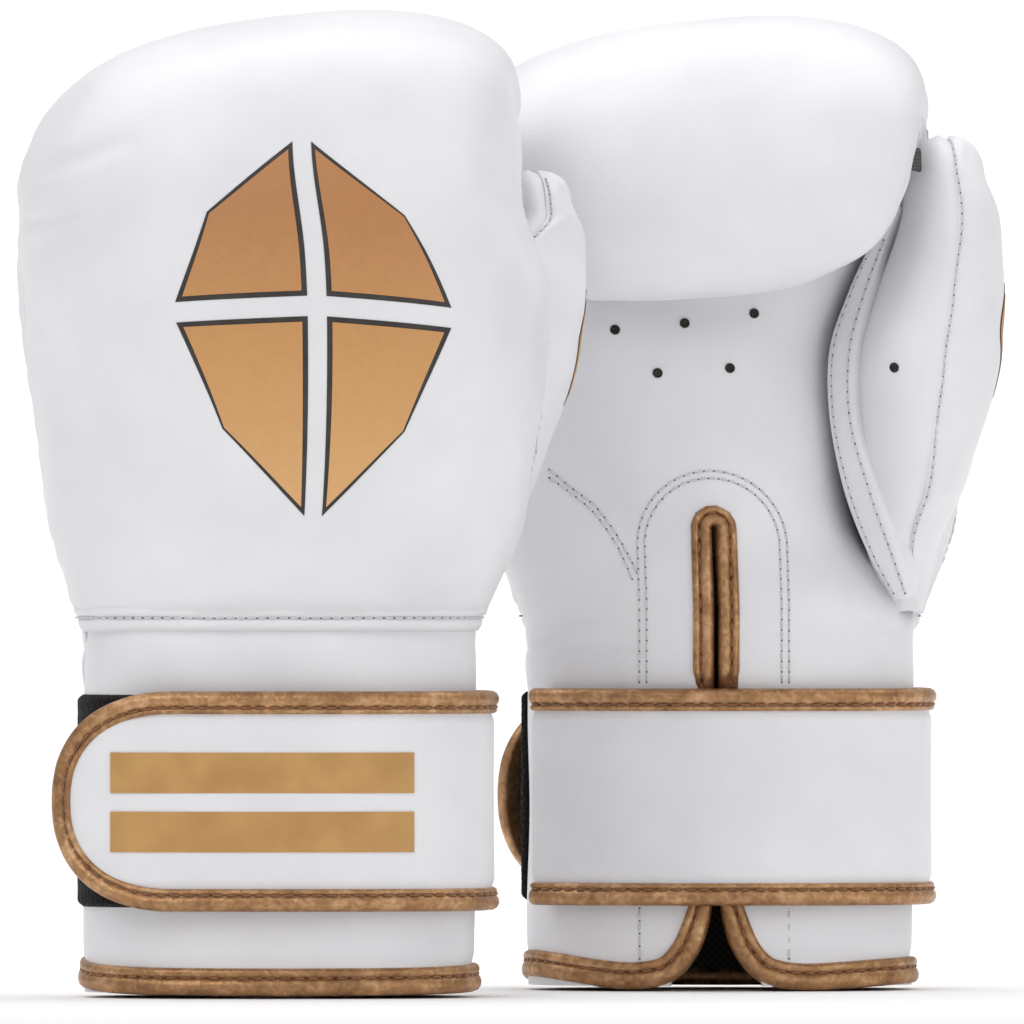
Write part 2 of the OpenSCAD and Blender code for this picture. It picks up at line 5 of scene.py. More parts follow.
import bpy
import numpy as np
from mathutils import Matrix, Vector


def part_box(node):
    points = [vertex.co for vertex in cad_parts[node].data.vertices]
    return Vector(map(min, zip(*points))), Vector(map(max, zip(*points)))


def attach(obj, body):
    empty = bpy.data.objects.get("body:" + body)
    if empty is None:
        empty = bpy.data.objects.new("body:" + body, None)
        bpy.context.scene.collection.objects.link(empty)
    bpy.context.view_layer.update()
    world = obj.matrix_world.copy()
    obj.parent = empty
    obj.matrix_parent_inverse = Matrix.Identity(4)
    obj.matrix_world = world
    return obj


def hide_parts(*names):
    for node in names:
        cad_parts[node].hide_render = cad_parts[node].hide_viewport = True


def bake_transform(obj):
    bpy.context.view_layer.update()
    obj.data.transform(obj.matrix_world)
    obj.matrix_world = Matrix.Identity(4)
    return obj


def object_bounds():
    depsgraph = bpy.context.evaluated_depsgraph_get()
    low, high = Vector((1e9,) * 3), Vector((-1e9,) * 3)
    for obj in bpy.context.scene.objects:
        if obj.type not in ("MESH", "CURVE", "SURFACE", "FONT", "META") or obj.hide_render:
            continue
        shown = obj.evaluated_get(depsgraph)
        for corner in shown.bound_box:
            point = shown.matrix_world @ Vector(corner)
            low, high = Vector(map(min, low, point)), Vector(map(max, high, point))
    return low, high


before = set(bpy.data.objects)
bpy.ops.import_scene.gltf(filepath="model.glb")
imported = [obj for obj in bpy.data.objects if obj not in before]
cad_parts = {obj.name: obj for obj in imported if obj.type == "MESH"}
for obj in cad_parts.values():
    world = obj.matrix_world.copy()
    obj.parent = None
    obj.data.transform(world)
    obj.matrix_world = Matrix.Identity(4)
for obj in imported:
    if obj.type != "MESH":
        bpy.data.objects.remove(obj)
cad_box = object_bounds()

# ======== Back of the hand ========
# One moulded pad from the wrist over the knuckles and round the bent fingers, under a single piece
# of smooth white leather. The leather is cut a little small and stretched over the foam, and its
# edge is turned in and sewn to the palm, the thumb and the wrist welt.

SIDES = ("left", "right")
MM = 0.001         # metres in a millimetre
WRIST_Z = 116      # height where the hand starts
HAND_LEAN = 0.03   # how far a hand leans for each millimetre of height
HAND_BEND = 2.5    # roundness of the hand's arched sections

# A section: [little-finger seam x, y, z, thumb seam x, y, z, crown y, z]
BACK = np.array([
    [-61.2, 0, 112.6, 61.2, 0, 112.6, -40.2, 112.6],
    [-70, 1, 142, 72, -5, 140, -50, 144],
    [-76, 2, 178, 77, -7, 176, -55, 182],
    [-80, 4, 210, 77, -7, 208, -55, 218],
    [-82, 8, 236, 70, -4, 236, -48, 250],
    [-79, 18, 246, 68, 5, 256, -28, 278],
    [-75, 30, 248, 67, 22, 263, 4, 290],
    [-72, 42, 247, 65, 40, 262, 38, 288],
    [-70, 52, 240, 62, 52, 254, 62, 268],
    [-65, 55, 228, 58, 55, 240, 71, 242],
    [-56, 54, 216, 49, 54, 225, 66, 217],
    [-37, 50, 209, 26, 50, 213, 56, 207]], float)

# The room for the hand inside the foam
BACK_ROOM = np.array([
    [-50, 0, 116, 50, 0, 116, -29, 116],
    [-49, 1, 142, 52, -5, 140, -26, 144],
    [-48, 2, 178, 52, -8, 176, -25, 180],
    [-48, 4, 206, 50, -8, 204, -24, 212],
    [-49, 8, 226, 46, -4, 226, -18, 236],
    [-49, 14, 236, 42, 5, 240, -8, 252],
    [-48, 22, 240, 40, 16, 246, 6, 262],
    [-46, 31, 240, 38, 28, 246, 24, 265],
    [-44, 39, 235, 36, 38, 240, 42, 256],
    [-40, 43, 228, 33, 43, 233, 50, 242],
    [-34, 44, 223, 28, 44, 227, 50, 230],
    [-28, 44, 220, 22, 44, 223, 47, 223]], float)


def station(table, u):
    """Sections at fractions u of a table's length, on the smooth curve (Catmull-Rom) through its rows."""
    last = len(table) - 1
    i = np.clip(np.floor(u * last).astype(int), 0, last - 1)
    t = (u * last - i)[..., None]
    p0, p1, p2, p3 = (table[np.clip(i + k, 0, last)] for k in (-1, 0, 1, 2))
    return 0.5 * (2 * p1 + (p2 - p0) * t + (2 * p0 - 5 * p1 + 4 * p2 - p3) * t**2
                  + (3 * p1 - p0 - 3 * p2 + p3) * t**3)


def arch(section, angle, depth=0.0):
    """Points of an arched section: the seam-to-seam chord's middle, plus q sin(angle) of the half chord
    and q cos(angle) of the rise to the crown, where q puts the point on a superellipse."""
    left, right = section[..., 0:3], section[..., 3:6]
    middle, half = (left + right) / 2, (right - left) / 2
    rise = np.zeros_like(middle)
    rise[..., 1:] = section[..., 6:8] - middle[..., 1:]
    s, c = np.sin(angle)[..., None], np.cos(angle)[..., None]
    q = (np.abs(s)**HAND_BEND + np.abs(c)**HAND_BEND)**(-1 / HAND_BEND)
    shrink = [1 - depth / np.linalg.norm(v, axis=-1, keepdims=True) for v in (half, rise)]
    return middle + q * s * half * shrink[0] + q * c * rise * shrink[1]


def arched_sheet(table, rows, cols):
    """Grid of points on a table's arches, evenly stepped in length and angle."""
    u = np.linspace(0, 1, rows)[:, None]
    angle = np.radians(np.linspace(-90, 90, cols))[None, :]
    return arch(station(table, u), angle)


def outward(grid, inside):
    """Unit normals of a grid: the cross product of its two directions, turned away from a point inside."""
    n = np.cross(np.gradient(grid, axis=0), np.gradient(grid, axis=1))
    n /= np.maximum(np.linalg.norm(n, axis=-1, keepdims=True), 1e-9)
    return n * np.sign(np.sum(n * (grid - np.array(inside))))


def edge_lengths(grid):
    """Distance of each point from the grid's first row, last row, first column and last column."""
    found = []
    for axis in (0, 1):
        step = np.linalg.norm(np.diff(grid, axis=axis), axis=-1)
        pad = [(1, 0), (0, 0)] if axis == 0 else [(0, 0), (1, 0)]
        run = np.pad(np.cumsum(step, axis=axis), pad)
        found += [run, np.take(run, [-1], axis=axis) - run]
    return found


def smooth(x, start, end):
    """0 before start, 1 after end, and 3t^2 - 2t^3 between them."""
    t = np.clip((x - start) / (end - start), 0, 1)
    return t * t * (3 - 2 * t)


def shell(outer, inner, keep=None):
    """Closed solid between two grids of one size: the outer cells, the inner ones turned round, and a
    wall along every edge of the cells that are kept. Returns points and four-sided faces."""
    rows, cols = outer.shape[:2]
    cell = np.ones((rows - 1, cols - 1), bool) if keep is None else keep
    index = np.arange(rows * cols).reshape(rows, cols)
    under = rows * cols
    quads = np.stack([index[:-1, :-1], index[:-1, 1:], index[1:, 1:], index[1:, :-1]], -1)[cell]
    walls = []
    framed = np.pad(cell, 1).astype(int)
    for axis, turn in ((0, 1), (1, -1)):
        change = np.diff(framed, axis=axis)
        change = change[:, 1:-1] if axis == 0 else change[1:-1, :]
        a = index[:, :-1] if axis == 0 else index[:-1, :]
        b = index[:, 1:] if axis == 0 else index[1:, :]
        for sign in (1, -1):
            on = change == sign
            p, q = (a[on], b[on]) if sign * turn > 0 else (b[on], a[on])
            walls.append(np.stack([p, p + under, q + under, q], -1))
    faces = np.concatenate([quads, quads[:, ::-1] + under, *walls])
    points = np.concatenate([outer.reshape(-1, 3), inner.reshape(-1, 3)])
    used, at = np.unique(faces, return_inverse=True)
    return points[used], at.reshape(faces.shape)


def to_frame(side, points):
    """A glove's own millimetres to metres in the frame: the hand's lean, the right glove's mirror in Y,
    and the place of the cuff."""
    low, high = (np.array(corner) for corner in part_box(side + "_cuff_cover"))
    centre = (low + high) / 2
    toward = 1 if side == "left" else -1
    moved = np.array(points, float)
    moved[..., 0] += toward * HAND_LEAN * np.maximum(0, moved[..., 2] - WRIST_Z)
    moved[..., 1] *= toward
    return moved * MM + np.array([centre[0], centre[1], 0])


def make_piece(side, name, points, faces, material, sharp=50):
    """Mesh of one glove's piece from points in its own millimetres, with faces turned outwards (its
    signed volume is positive) and edges sharper than an angle kept crisp."""
    co = to_frame(side, points).reshape(-1, 3)
    loops = [list(f) for f in faces]
    tri = np.array([(f[0], f[k], f[k + 1]) for f in loops for k in range(1, len(f) - 1)])
    a, b, c = (co[tri[:, k]] for k in range(3))
    if np.sum(a * np.cross(b, c)) < 0:
        loops = [f[::-1] for f in loops]
    mesh = bpy.data.meshes.new(f"{side}_{name}")
    mesh.from_pydata(co.tolist(), [], loops)
    mesh.shade_smooth()
    mesh.set_sharp_from_angle(angle=np.radians(sharp))
    mesh.materials.append(material)
    piece = bpy.data.objects.new(f"{side}_{name}", mesh)
    bpy.context.scene.collection.objects.link(piece)
    return piece


PRESS_FRAMES, PRESS_FORCE = 20, 4          # how long and how hard the foam presses the leather out


def pressed_out(outer, inner, shrink):
    """How far each outer point moves when foam presses the leather out: cloth on the closed pad, pinned
    on the inside and along its seams, cut short by shrink, under pressure for some frames."""
    rows, cols = outer.shape[:2]
    index = np.arange(2 * rows * cols).reshape(2, rows, cols)
    quads = [np.stack([k[:-1, :-1], k[:-1, 1:], k[1:, 1:], k[1:, :-1]], -1).reshape(-1, 4)
             for k in index]
    ring = np.concatenate([index[:, 0, :-1], index[:, :-1, -1], index[:, -1, :0:-1],
                           index[:, :0:-1, 0]], axis=1)
    wall = np.stack([ring[0], np.roll(ring[0], -1), np.roll(ring[1], -1), ring[1]], -1)
    points = np.concatenate([outer.reshape(-1, 3), inner.reshape(-1, 3)])
    faces = np.concatenate([quads[0], quads[1][:, ::-1], wall[:, ::-1]])
    a, b, c = (points[faces[:, k]] for k in (0, 1, 2))
    if np.sum(a * np.cross(b, c)) < 0:
        faces = faces[:, ::-1]
    mesh = bpy.data.meshes.new("pad_form")
    mesh.from_pydata((points * MM).tolist(), [], faces.tolist())
    pad = bpy.data.objects.new("pad_form", mesh)
    bpy.context.scene.collection.objects.link(pad)
    held = pad.vertex_groups.new(name="held")
    inside = np.zeros((rows, cols), bool)
    inside[1:-1, 1:-1] = True
    free = np.flatnonzero(np.concatenate([inside.ravel(), np.zeros(rows * cols, bool)]))
    held.add([int(k) for k in np.setdiff1d(np.arange(len(points)), free)], 1.0, "REPLACE")
    cloth = pad.modifiers.new("Cloth", "CLOTH").settings
    cloth.quality = 5
    cloth.mass = 0.3
    cloth.tension_stiffness = 20
    cloth.compression_stiffness = 15
    cloth.bending_stiffness = 0.4
    cloth.use_pressure = True
    cloth.uniform_pressure_force = PRESS_FORCE
    cloth.shrink_min = shrink
    cloth.effector_weights.gravity = 0
    cloth.vertex_group_mass = "held"
    scene = bpy.context.scene
    scene.frame_start, scene.frame_end = 1, PRESS_FRAMES
    for number in range(1, PRESS_FRAMES + 1):
        scene.frame_set(number)
    ready = pad.evaluated_get(bpy.context.evaluated_depsgraph_get()).data
    co = np.zeros(len(points) * 3)
    ready.vertices.foreach_get("co", co)
    bpy.data.objects.remove(pad)
    bpy.data.meshes.remove(mesh)
    scene.frame_set(1)
    return co.reshape(-1, 3)[:rows * cols].reshape(rows, cols, 3) / MM - outer


def finer(grid, rows, cols):
    """A coarse grid of values read off at more rows and columns, on smooth curves through it."""
    along = station(grid.reshape(len(grid), -1), np.linspace(0, 1, rows))
    across = along.reshape(rows, grid.shape[1], -1).transpose(1, 0, 2).reshape(grid.shape[1], -1)
    out = station(across, np.linspace(0, 1, cols)).reshape(cols, rows, -1)
    return out.transpose(1, 0, 2)


def limited(move, most):
    """A coarse move, evened out with its neighbours' twice and cut down to at most some mm."""
    for _ in range(2):
        wide = np.pad(move, ((1, 1), (1, 1), (0, 0)), mode="edge")
        move = (wide[:-2, 1:-1] + wide[2:, 1:-1] + wide[1:-1, :-2] + wide[1:-1, 2:] + 2 * move) / 6
    size = np.linalg.norm(move, axis=-1, keepdims=True)
    return move * most / np.maximum(size, most)


def padded_surface(table, room, rows, cols, shrink, most, inside):
    """A pad's outer surface: the table's arches, moved by what the pressed cloth does at a coarse grid,
    but nowhere by more than a limit, and its normals."""
    coarse = (rows // 4, cols // 4)
    move = pressed_out(arched_sheet(table, *coarse), arched_sheet(room, *coarse), shrink)
    grid = arched_sheet(table, rows, cols) + finer(limited(move, most), rows, cols)
    return grid, outward(grid, inside)


def crease(grid, start, end, width, depth, front=None):
    """Soft furrow along a line between two points: depth exp(-(distance / width)^2), with a low ridge
    on both sides and fading out at its ends. With front, only the distance in X and Z counts, on points
    whose Y is on that side."""
    keep = np.array([1.0, 0.0 if front else 1.0, 1.0])
    a, b = np.array(start, float) * keep, np.array(end, float) * keep
    p = grid * keep
    t = (p - a) @ (b - a) / np.sum((b - a)**2)
    away = np.linalg.norm(p - a - np.clip(t, 0, 1)[..., None] * (b - a), axis=-1) / width
    fade = np.sqrt(np.clip(4 * t * (1 - t), 0, 1)) * (t > 0) * (t < 1)
    near = 1.0 if front is None else smooth(grid[..., 1] * front, -6, 6)
    return depth * near * fade * (1 - away**2) * np.exp(-away**2)


def puckers(run, away, reach, height):
    """Small uneven waves along a seam: two sines of the run along it, fading with distance from it."""
    wave = np.sin(run * 2 * np.pi / 11.3 + 1.3) + 0.6 * np.sin(run * 2 * np.pi / 7.1 + 0.4)
    return height * wave * np.exp(-away / reach) * (1 - np.exp(-(away / 1.5)**2))


HAND_INSIDE = (-3, 5, 190)                 # a point in the hand room
BACK_GRID = (196, 132)                     # rows and columns of the back's leather
BACK_SWELL = 4                             # the most that it is pressed out
back, back_n = padded_surface(BACK, BACK_ROOM, *BACK_GRID, -0.02, BACK_SWELL, HAND_INSIDE)
from_wrist, from_lip, from_little, from_thumb = edge_lengths(back)
pull = (1.3 * np.exp(-(from_wrist / 4)**2) + 1.6 * np.exp(-(from_lip / 4)**2)
        + 1.5 * np.exp(-(from_little / 3.5)**2) + 1.4 * np.exp(-(from_thumb / 3.5)**2))
pull += puckers(from_wrist, from_little, 9, 0.28) + puckers(from_wrist, from_thumb, 7, 0.16)
pull += puckers(from_little, from_wrist, 5, 0.12)
for start, end, width, depth in (
        ((-82, 0, 230), (-60, 0, 231.5), 2.2, 1.1),
        ((-80, 0, 243), (-46, 0, 255), 4.0, 0.9),
        ((-79, 0, 256), (-62, 0, 271), 4.5, 1.0),
        ((-81, 0, 236), (-70, 0, 240), 2.0, 0.6),
        ((-80, 0, 224), (-70, 0, 221), 2.4, 0.5)):
    pull += crease(back, start, end, width, depth, -1)       # the back of the hand faces -Y
back = back - back_n * pull[..., None]


def hex_linear(code):
    """An sRGB hex colour as linear red, green, blue and alpha."""
    s = np.array([int(code[k:k + 2], 16) for k in (1, 3, 5)]) / 255
    linear = np.where(s <= 0.04045, s / 12.92, ((s + 0.055) / 1.055)**2.4)
    return (*[float(v) for v in linear], 1.0)


def add_node(material, kind, inputs=(), **settings):
    """Adds a shader node with its settings and its inputs, each a value or another node's socket."""
    node = material.node_tree.nodes.new("ShaderNode" + kind)
    for key, value in settings.items():
        setattr(node, key, value)
    for key, value in dict(inputs).items():
        if isinstance(value, bpy.types.NodeSocket):
            material.node_tree.links.new(value, node.inputs[key])
        else:
            node.inputs[key].default_value = value
    return node


def new_material(name, **values):
    """A material with a Principled shader, and that shader with plain values on its own sockets."""
    material = bpy.data.materials.new(name)
    material.use_nodes = True
    shader = material.node_tree.nodes["Principled BSDF"]
    for key, value in values.items():
        shader.inputs[key.replace("_", " ")].default_value = value
    return material, shader


def colour_steps(material, factor, steps):
    """A ramp node from (position, hex) steps, read at a factor socket."""
    ramp = add_node(material, "ValToRGB", {"Fac": factor}).color_ramp
    for k, (place, code) in enumerate(steps):
        stop = ramp.elements[k] if k < 2 else ramp.elements.new(place)
        stop.position, stop.color = place, hex_linear(code)
    return material.node_tree.nodes[-1].outputs["Color"]


def dress(material, shader, **sockets):
    """Links sockets to the shader's inputs of the same names."""
    for name, socket in sockets.items():
        material.node_tree.links.new(socket, shader.inputs[name.replace("_", " ")])


# White polyurethane-coated leather: rolled, satin, with a fine pebble grain and faint unevenness
leather, shader = new_material("white_coated_leather", IOR=1.5)
place = add_node(leather, "TexCoord").outputs["Object"]
GRAIN = 1.1 * MM                           # real grain is 0.4 mm, drawn coarser so that it shows
cloud = add_node(leather, "TexNoise", {"Vector": place, "Scale": 1 / (38 * MM), "Detail": 3})
grain = add_node(leather, "TexVoronoi", {"Vector": place, "Scale": 1 / GRAIN}, feature="SMOOTH_F1")
fine = add_node(leather, "TexNoise", {"Vector": place, "Scale": 1 / (0.6 * MM), "Detail": 2})
white = colour_steps(leather, cloud.outputs["Fac"], ((0.3, "#dfdfe3"), (0.7, "#e9e9ec")))
gloss = add_node(leather, "MapRange", {"Value": cloud.outputs["Fac"], "To Min": 0.38, "To Max": 0.5})
pebble = add_node(leather, "Bump", {"Height": grain.outputs["Distance"], "Strength": 0.32,
                                    "Distance": 0.12 * MM})
skin = add_node(leather, "Bump", {"Height": fine.outputs["Fac"], "Strength": 0.12,
                                  "Distance": 0.1 * MM, "Normal": pebble.outputs["Normal"]})
dress(leather, shader, Base_Color=white, Roughness=gloss.outputs["Result"],
      Normal=skin.outputs["Normal"])

back_room = arched_sheet(BACK_ROOM, *BACK_GRID)
for side in SIDES:
    piece = make_piece(side, "hand_back", *shell(back, back_room), leather)
    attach(piece, side + "_glove")
    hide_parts(side + "_back_cover", side + "_back_padding", side + "_finger_padding")

# ======== Palm ========
# One piece of the same leather from under the strap to the inside of the finger roll, over a thin
# foam. It is cut open at the wrist slit, punched with five vent holes, and its edges run in under
# the back's leather and the web of the thumb.

PALM = np.array([
    [-58.4, 0, 88, 58.4, 0, 88, 37.7, 88],
    [-58.8, -1, 102, 58.6, -1, 102, 38.2, 102],
    [-61.6, 0, 116, 57, 1, 116, 38, 116],
    [-70, 2, 142, 42, 0, 140, 36, 138],
    [-76, 3, 176, 40, -2, 172, 34, 168],
    [-80, 5, 206, 40, -2, 200, 31, 194],
    [-81, 9, 230, 48, 0, 224, 29, 209],
    [-79, 18, 243, 57, 7, 246, 33, 220],
    [-75, 29, 246, 60, 20, 258, 38, 224],
    [-72, 40, 245, 60, 36, 258, 43, 219],
    [-69, 48, 238, 59, 47, 250, 46, 212],
    [-64, 50, 227, 56, 50, 239, 48, 211],
    [-55, 51, 217, 47, 51, 226, 51, 210.5],
    [-36, 53, 212, 25, 53, 216, 54, 210.5]], float)

PALM_ROOM = np.array([
    [-57.5, 0, 88, 57.2, 0, 88, 36.2, 88],
    [-58.5, 0, 102, 54.5, 0, 102, 36.5, 102],
    [-50, 1, 116, 46, 1, 116, 29, 116],
    [-49, 2, 142, 36, 0, 140, 27, 138],
    [-48, 3, 174, 33, -2, 170, 25, 168],
    [-48, 5, 202, 33, -2, 196, 22, 192],
    [-48, 9, 222, 36, 0, 216, 20, 210],
    [-48, 15, 233, 39, 7, 234, 24, 226],
    [-47, 22, 238, 40, 17, 243, 31, 235],
    [-45, 31, 238, 38, 28, 243, 38, 233],
    [-43, 38, 233, 36, 37, 238, 42, 226],
    [-39, 42, 226, 33, 42, 231, 44, 221],
    [-33, 43, 221, 28, 43, 225, 45, 218],
    [-27, 43, 218, 22, 43, 221, 44, 217]], float)

PALM_GRID = (150, 92)
PALM_SWELL = 3
SLIT_X = -1.5        # middle of the wrist slit
SLIT_TOP = 139.5     # centre of its round upper end
SLIT_CUT = 5.7       # half the width cut out of the palm, hidden under the slit's binding
palm, palm_n = padded_surface(PALM, PALM_ROOM, *PALM_GRID, -0.01, PALM_SWELL, HAND_INSIDE)
palm_wrist, palm_lip, palm_little, palm_thumb = edge_lengths(palm)
pull = (1.5 * np.exp(-(palm_little / 3.5)**2) + puckers(palm_wrist, palm_little, 9, 0.28)
        + 1.5 * np.exp(-(palm_lip / 8)**2)
        + 1.8 * np.exp(-(palm_thumb / 3.5)**2) * (1 - smooth(palm[..., 2], 118, 130)))
for start, end, width, depth in (
        ((-57, 1, 106), (-34, 1, 112), 3.5, 0.9),
        ((-40, 1, 100), (-14, 1, 104), 3.0, 0.4),
        ((54, 1, 108), (40, 1, 112), 3.0, 0.8),
        ((-58, 1, 122), (-30, 1, 128), 6.0, 0.6)):
    pull += crease(palm, start, end, width, depth, 1)
palm = palm - palm_n * pull[..., None]


def lay_on(grid, normals, x, z):
    """Points and normals of a grid seen from the front at given x and z: each row is read at x, and the
    two rows on either side of z are mixed. Rows count up to where z stops rising."""
    columns = np.arange(grid.shape[1], dtype=float)
    both = np.concatenate([grid, normals], -1)
    column = np.stack([np.interp(x, row[:, 0], columns) for row in grid])
    j = np.clip(column.astype(int), 0, grid.shape[1] - 2)
    t = (column - j)[..., None]
    i = np.arange(len(grid))[:, None]
    on_row = both[i, j] * (1 - t) + both[i, j + 1] * t
    rising = np.cumprod(np.diff(on_row[..., 2], axis=0, append=1e9) > 0, axis=0)
    below = np.sum((on_row[..., 2] < z) * rising, axis=0) - 1
    below = np.clip(below, 0, len(grid) - 2)
    k = np.arange(len(x))
    a, b = on_row[below, k], on_row[below + 1, k]
    s = ((z - a[:, 2]) / (b[:, 2] - a[:, 2]))[:, None]
    found = a * (1 - s) + b * s
    return found[:, :3], found[:, 3:]


VENTS = np.array([(-29.4, 199), (-8.4, 201), (12.6, 204), (-17, 186), (4.8, 187.5)])   # vent holes: x, z
VENT_R, VENT_STAND, VENT_DISH = 1.5, 0.45, 0.12
vent_at, vent_n = lay_on(palm, palm_n, VENTS[:, 0], VENTS[:, 1])
middle_of = (palm[:-1, :-1] + palm[1:, 1:]) / 2
from_slit = np.hypot(middle_of[..., 0] - SLIT_X, np.maximum(0, middle_of[..., 2] - SLIT_TOP))
keep = (from_slit > SLIT_CUT) | (middle_of[..., 1] < 20)
palm_room = arched_sheet(PALM_ROOM, *PALM_GRID)

for side in SIDES:
    piece = make_piece(side, "palm", *shell(palm, palm_room, keep), leather)
    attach(piece, side + "_glove")
    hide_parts(side + "_palm_panel", side + "_palm_padding")


def on_each(centres, normals, along, pattern, faces):
    """Copies of a small pattern standing on points: its x along a direction, its z along the normal."""
    n = normals / np.linalg.norm(normals, axis=-1, keepdims=True)
    t = along - n * np.sum(along * n, axis=-1, keepdims=True)
    t /= np.linalg.norm(t, axis=-1, keepdims=True)
    b = np.cross(n, t)
    basis = np.stack([t, b, n], axis=1)
    points = centres[:, None, :] + np.einsum("pk,skd->spd", pattern, basis)
    return points.reshape(-1, 3), [[v + len(pattern) * s for v in f]
                                   for s in range(len(centres)) for f in faces]


def dished_disc(radius, sink, sides=16):
    """A small round well: a rim ring, a sunken ring and a flat underside."""
    a = np.arange(sides) * 2 * np.pi / sides
    rings = [np.stack([r * np.cos(a), r * np.sin(a), np.full(sides, h)], -1)
             for r, h in ((radius, 0.0), (radius * 0.75, -sink), (radius, -sink - 0.8))]
    k = np.arange(sides)
    m = (k + 1) % sides
    faces = [list(f) for f in np.stack([k, m, m + sides, k + sides], -1)]
    faces += [list(f) for f in np.stack([m, k, k + 2 * sides, m + 2 * sides], -1)]
    return np.concatenate(rings), faces + [list(k + sides), list(k[::-1] + 2 * sides)]


# A dark disc laid on the leather at each vent hole: painted shade standing for the hole's dark inside, with
# a fine speckle
vent_shade, shader = new_material("vent_hole_painted_shade", Roughness=0.9)
place = add_node(vent_shade, "TexCoord").outputs["Object"]
vent_shade_speckle = add_node(vent_shade, "TexVoronoi", {"Vector": place, "Scale": 1 / (0.7 * MM)})
vent_shade_colour = colour_steps(vent_shade, vent_shade_speckle.outputs["Distance"], ((0.2, "#3b3633"), (0.7, "#171413")))
dress(vent_shade, shader, Base_Color=vent_shade_colour)
vents, vent_faces = on_each(vent_at + vent_n * VENT_STAND, vent_n,
                            np.tile([1.0, 0, 0], (len(VENTS), 1)), *dished_disc(VENT_R, VENT_DISH))
for side in SIDES:
    piece = make_piece(side, "vent_shade_disc", vents, vent_faces, vent_shade)
    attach(piece, side + "_glove")

# ======== Thumb ========
# The thumb is sewn from a broad outer piece and a narrow inner one round its own foam. The outer
# piece joins the back's leather down to the wrist and stands free above it, where it is gathered.

# An oval: [centre x, centre y, z, half width, half depth]
THUMB = np.array([
    [56, 12, 114, 5, 8],
    [56, 14, 135, 12, 15],
    [60, 17, 152, 16, 19],
    [62.5, 18, 172, 19.5, 21.5],
    [65, 20, 192, 21, 22.5],
    [69, 22, 212, 18.5, 22],
    [72.5, 24, 232, 14.8, 20],
    [72, 25, 246, 12.5, 16],
    [72, 25, 254, 8.5, 10.5],
    [72, 25, 257.5, 3, 4],
    [72, 25, 258, 0.3, 0.3]], float)

THUMB_ROOM = np.array([
    [57, 13, 140, 8, 8],
    [59.5, 15.5, 150, 11.5, 11],
    [61, 17, 166, 12, 12.5],
    [63, 18.5, 184, 12.5, 13],
    [65.5, 20.5, 202, 12, 13],
    [69, 23, 220, 9.5, 11.5],
    [71, 24, 234, 7, 9],
    [71.5, 24, 240, 3, 4],
    [71.5, 24, 241, 0.3, 0.3]], float)
THUMB_DROP = 0.2                           # how much of its height over the middle a pressed thumb loses
THUMB_MID_Z = 200
THUMB_SWELL = 1.3                          # the most that its leather is pressed out
THUMB_INSIDE = (64, 20, 190)               # a point in the thumb room
seam_line = station(BACK, np.linspace(0, 0.6, 60))[:, 3:6]


def thumb_sheet(table, start, end, rows, cols, to_seam):
    """Grid round the thumb: centre + half width cos(a), half depth sin(a) up the table's ovals. With
    to_seam, the part that faces the back is drawn over to the back's thumb seam, up to the notch."""
    u = np.linspace(0, 1, rows)[:, None]
    a = np.radians(np.linspace(start, end, cols))[None, :]
    s = station(table, u)
    grid = np.stack([s[..., 0] + s[..., 3] * np.cos(a), s[..., 1] + s[..., 4] * np.sin(a),
                     s[..., 2] + 0 * a], -1)
    if to_seam:
        z = grid[..., 2]
        seam = np.stack([np.interp(z, seam_line[:, 2], seam_line[:, 0]) - 1.6,
                         np.interp(z, seam_line[:, 2], seam_line[:, 1]) + 0.8, z], -1)
        turn = np.degrees(a) + 0 * z
        turn = np.where(turn > 180, 360 - turn, -turn)
        weight = smooth(turn, 20, 72) * (1 - smooth(z, 226, 242))
        grid = grid + (seam - grid) * weight[..., None]
    return grid


def press_thumb(side, points):
    """The left thumb is pressed down a little: above its middle its height shrinks."""
    moved = np.array(points, float)
    if side == "left":
        moved[..., 2] -= THUMB_DROP * np.maximum(0, moved[..., 2] - THUMB_MID_Z)
    return moved


def thumb_pad(start, end, rows, cols, pull_of):
    """A thumb piece's outer grid, pressed out and drawn in at its seams, its normals and inner grid."""
    coarse = (rows // 3, cols // 3)
    move = pressed_out(thumb_sheet(THUMB, start, end, *coarse, True),
                       thumb_sheet(THUMB_ROOM, start, end, *coarse, False), -0.03)
    grid = (thumb_sheet(THUMB, start, end, rows, cols, True)
            + finer(limited(move, THUMB_SWELL), rows, cols))
    n = outward(grid, THUMB_INSIDE)
    return (grid - n * pull_of(grid)[..., None], n,
            thumb_sheet(THUMB_ROOM, start, end, rows, cols, False))


def cover_pull(grid):
    """How far the outer leather is drawn in: exp(-(distance / width)^2) along its seams, with puckers,
    and creases near the tip, by the notch and across the middle."""
    base, _, back_edge, palm_edge = edge_lengths(grid)
    pull = (1.3 * np.exp(-(palm_edge / 2.6)**2) + 0.7 * np.exp(-(back_edge / 2.6)**2)
            + puckers(base, palm_edge, 7, 0.22) + puckers(base, back_edge, 6, 0.18))
    for start, end, width, depth, front in (
            ((72, 0, 249), (88, 0, 244), 2.0, 0.9, -1),
            ((73, 0, 243), (91, 0, 233), 2.2, 1.1, -1),
            ((74, 0, 238), (87, 0, 224), 2.2, 0.9, -1),
            ((75, 0, 232), (85, 0, 214), 2.6, 0.6, -1),
            ((60, 0, 246), (70, 0, 251), 1.6, 0.8, 1),
            ((60.5, 0, 241), (72, 0, 246), 1.8, 0.7, 1),
            ((61, 0, 236), (70, 0, 238), 1.8, 0.5, 1),
            ((67, 0, 187), (78, 0, 190), 2.4, 0.5, 1),
            ((67, 0, 178.5), (79, 0, 183), 2.4, 0.5, 1),
            ((66, 0, 214), (74, 0, 217), 2.4, 0.3, 1)):
        pull = pull + crease(grid, start, end, width, depth, front)
    return pull


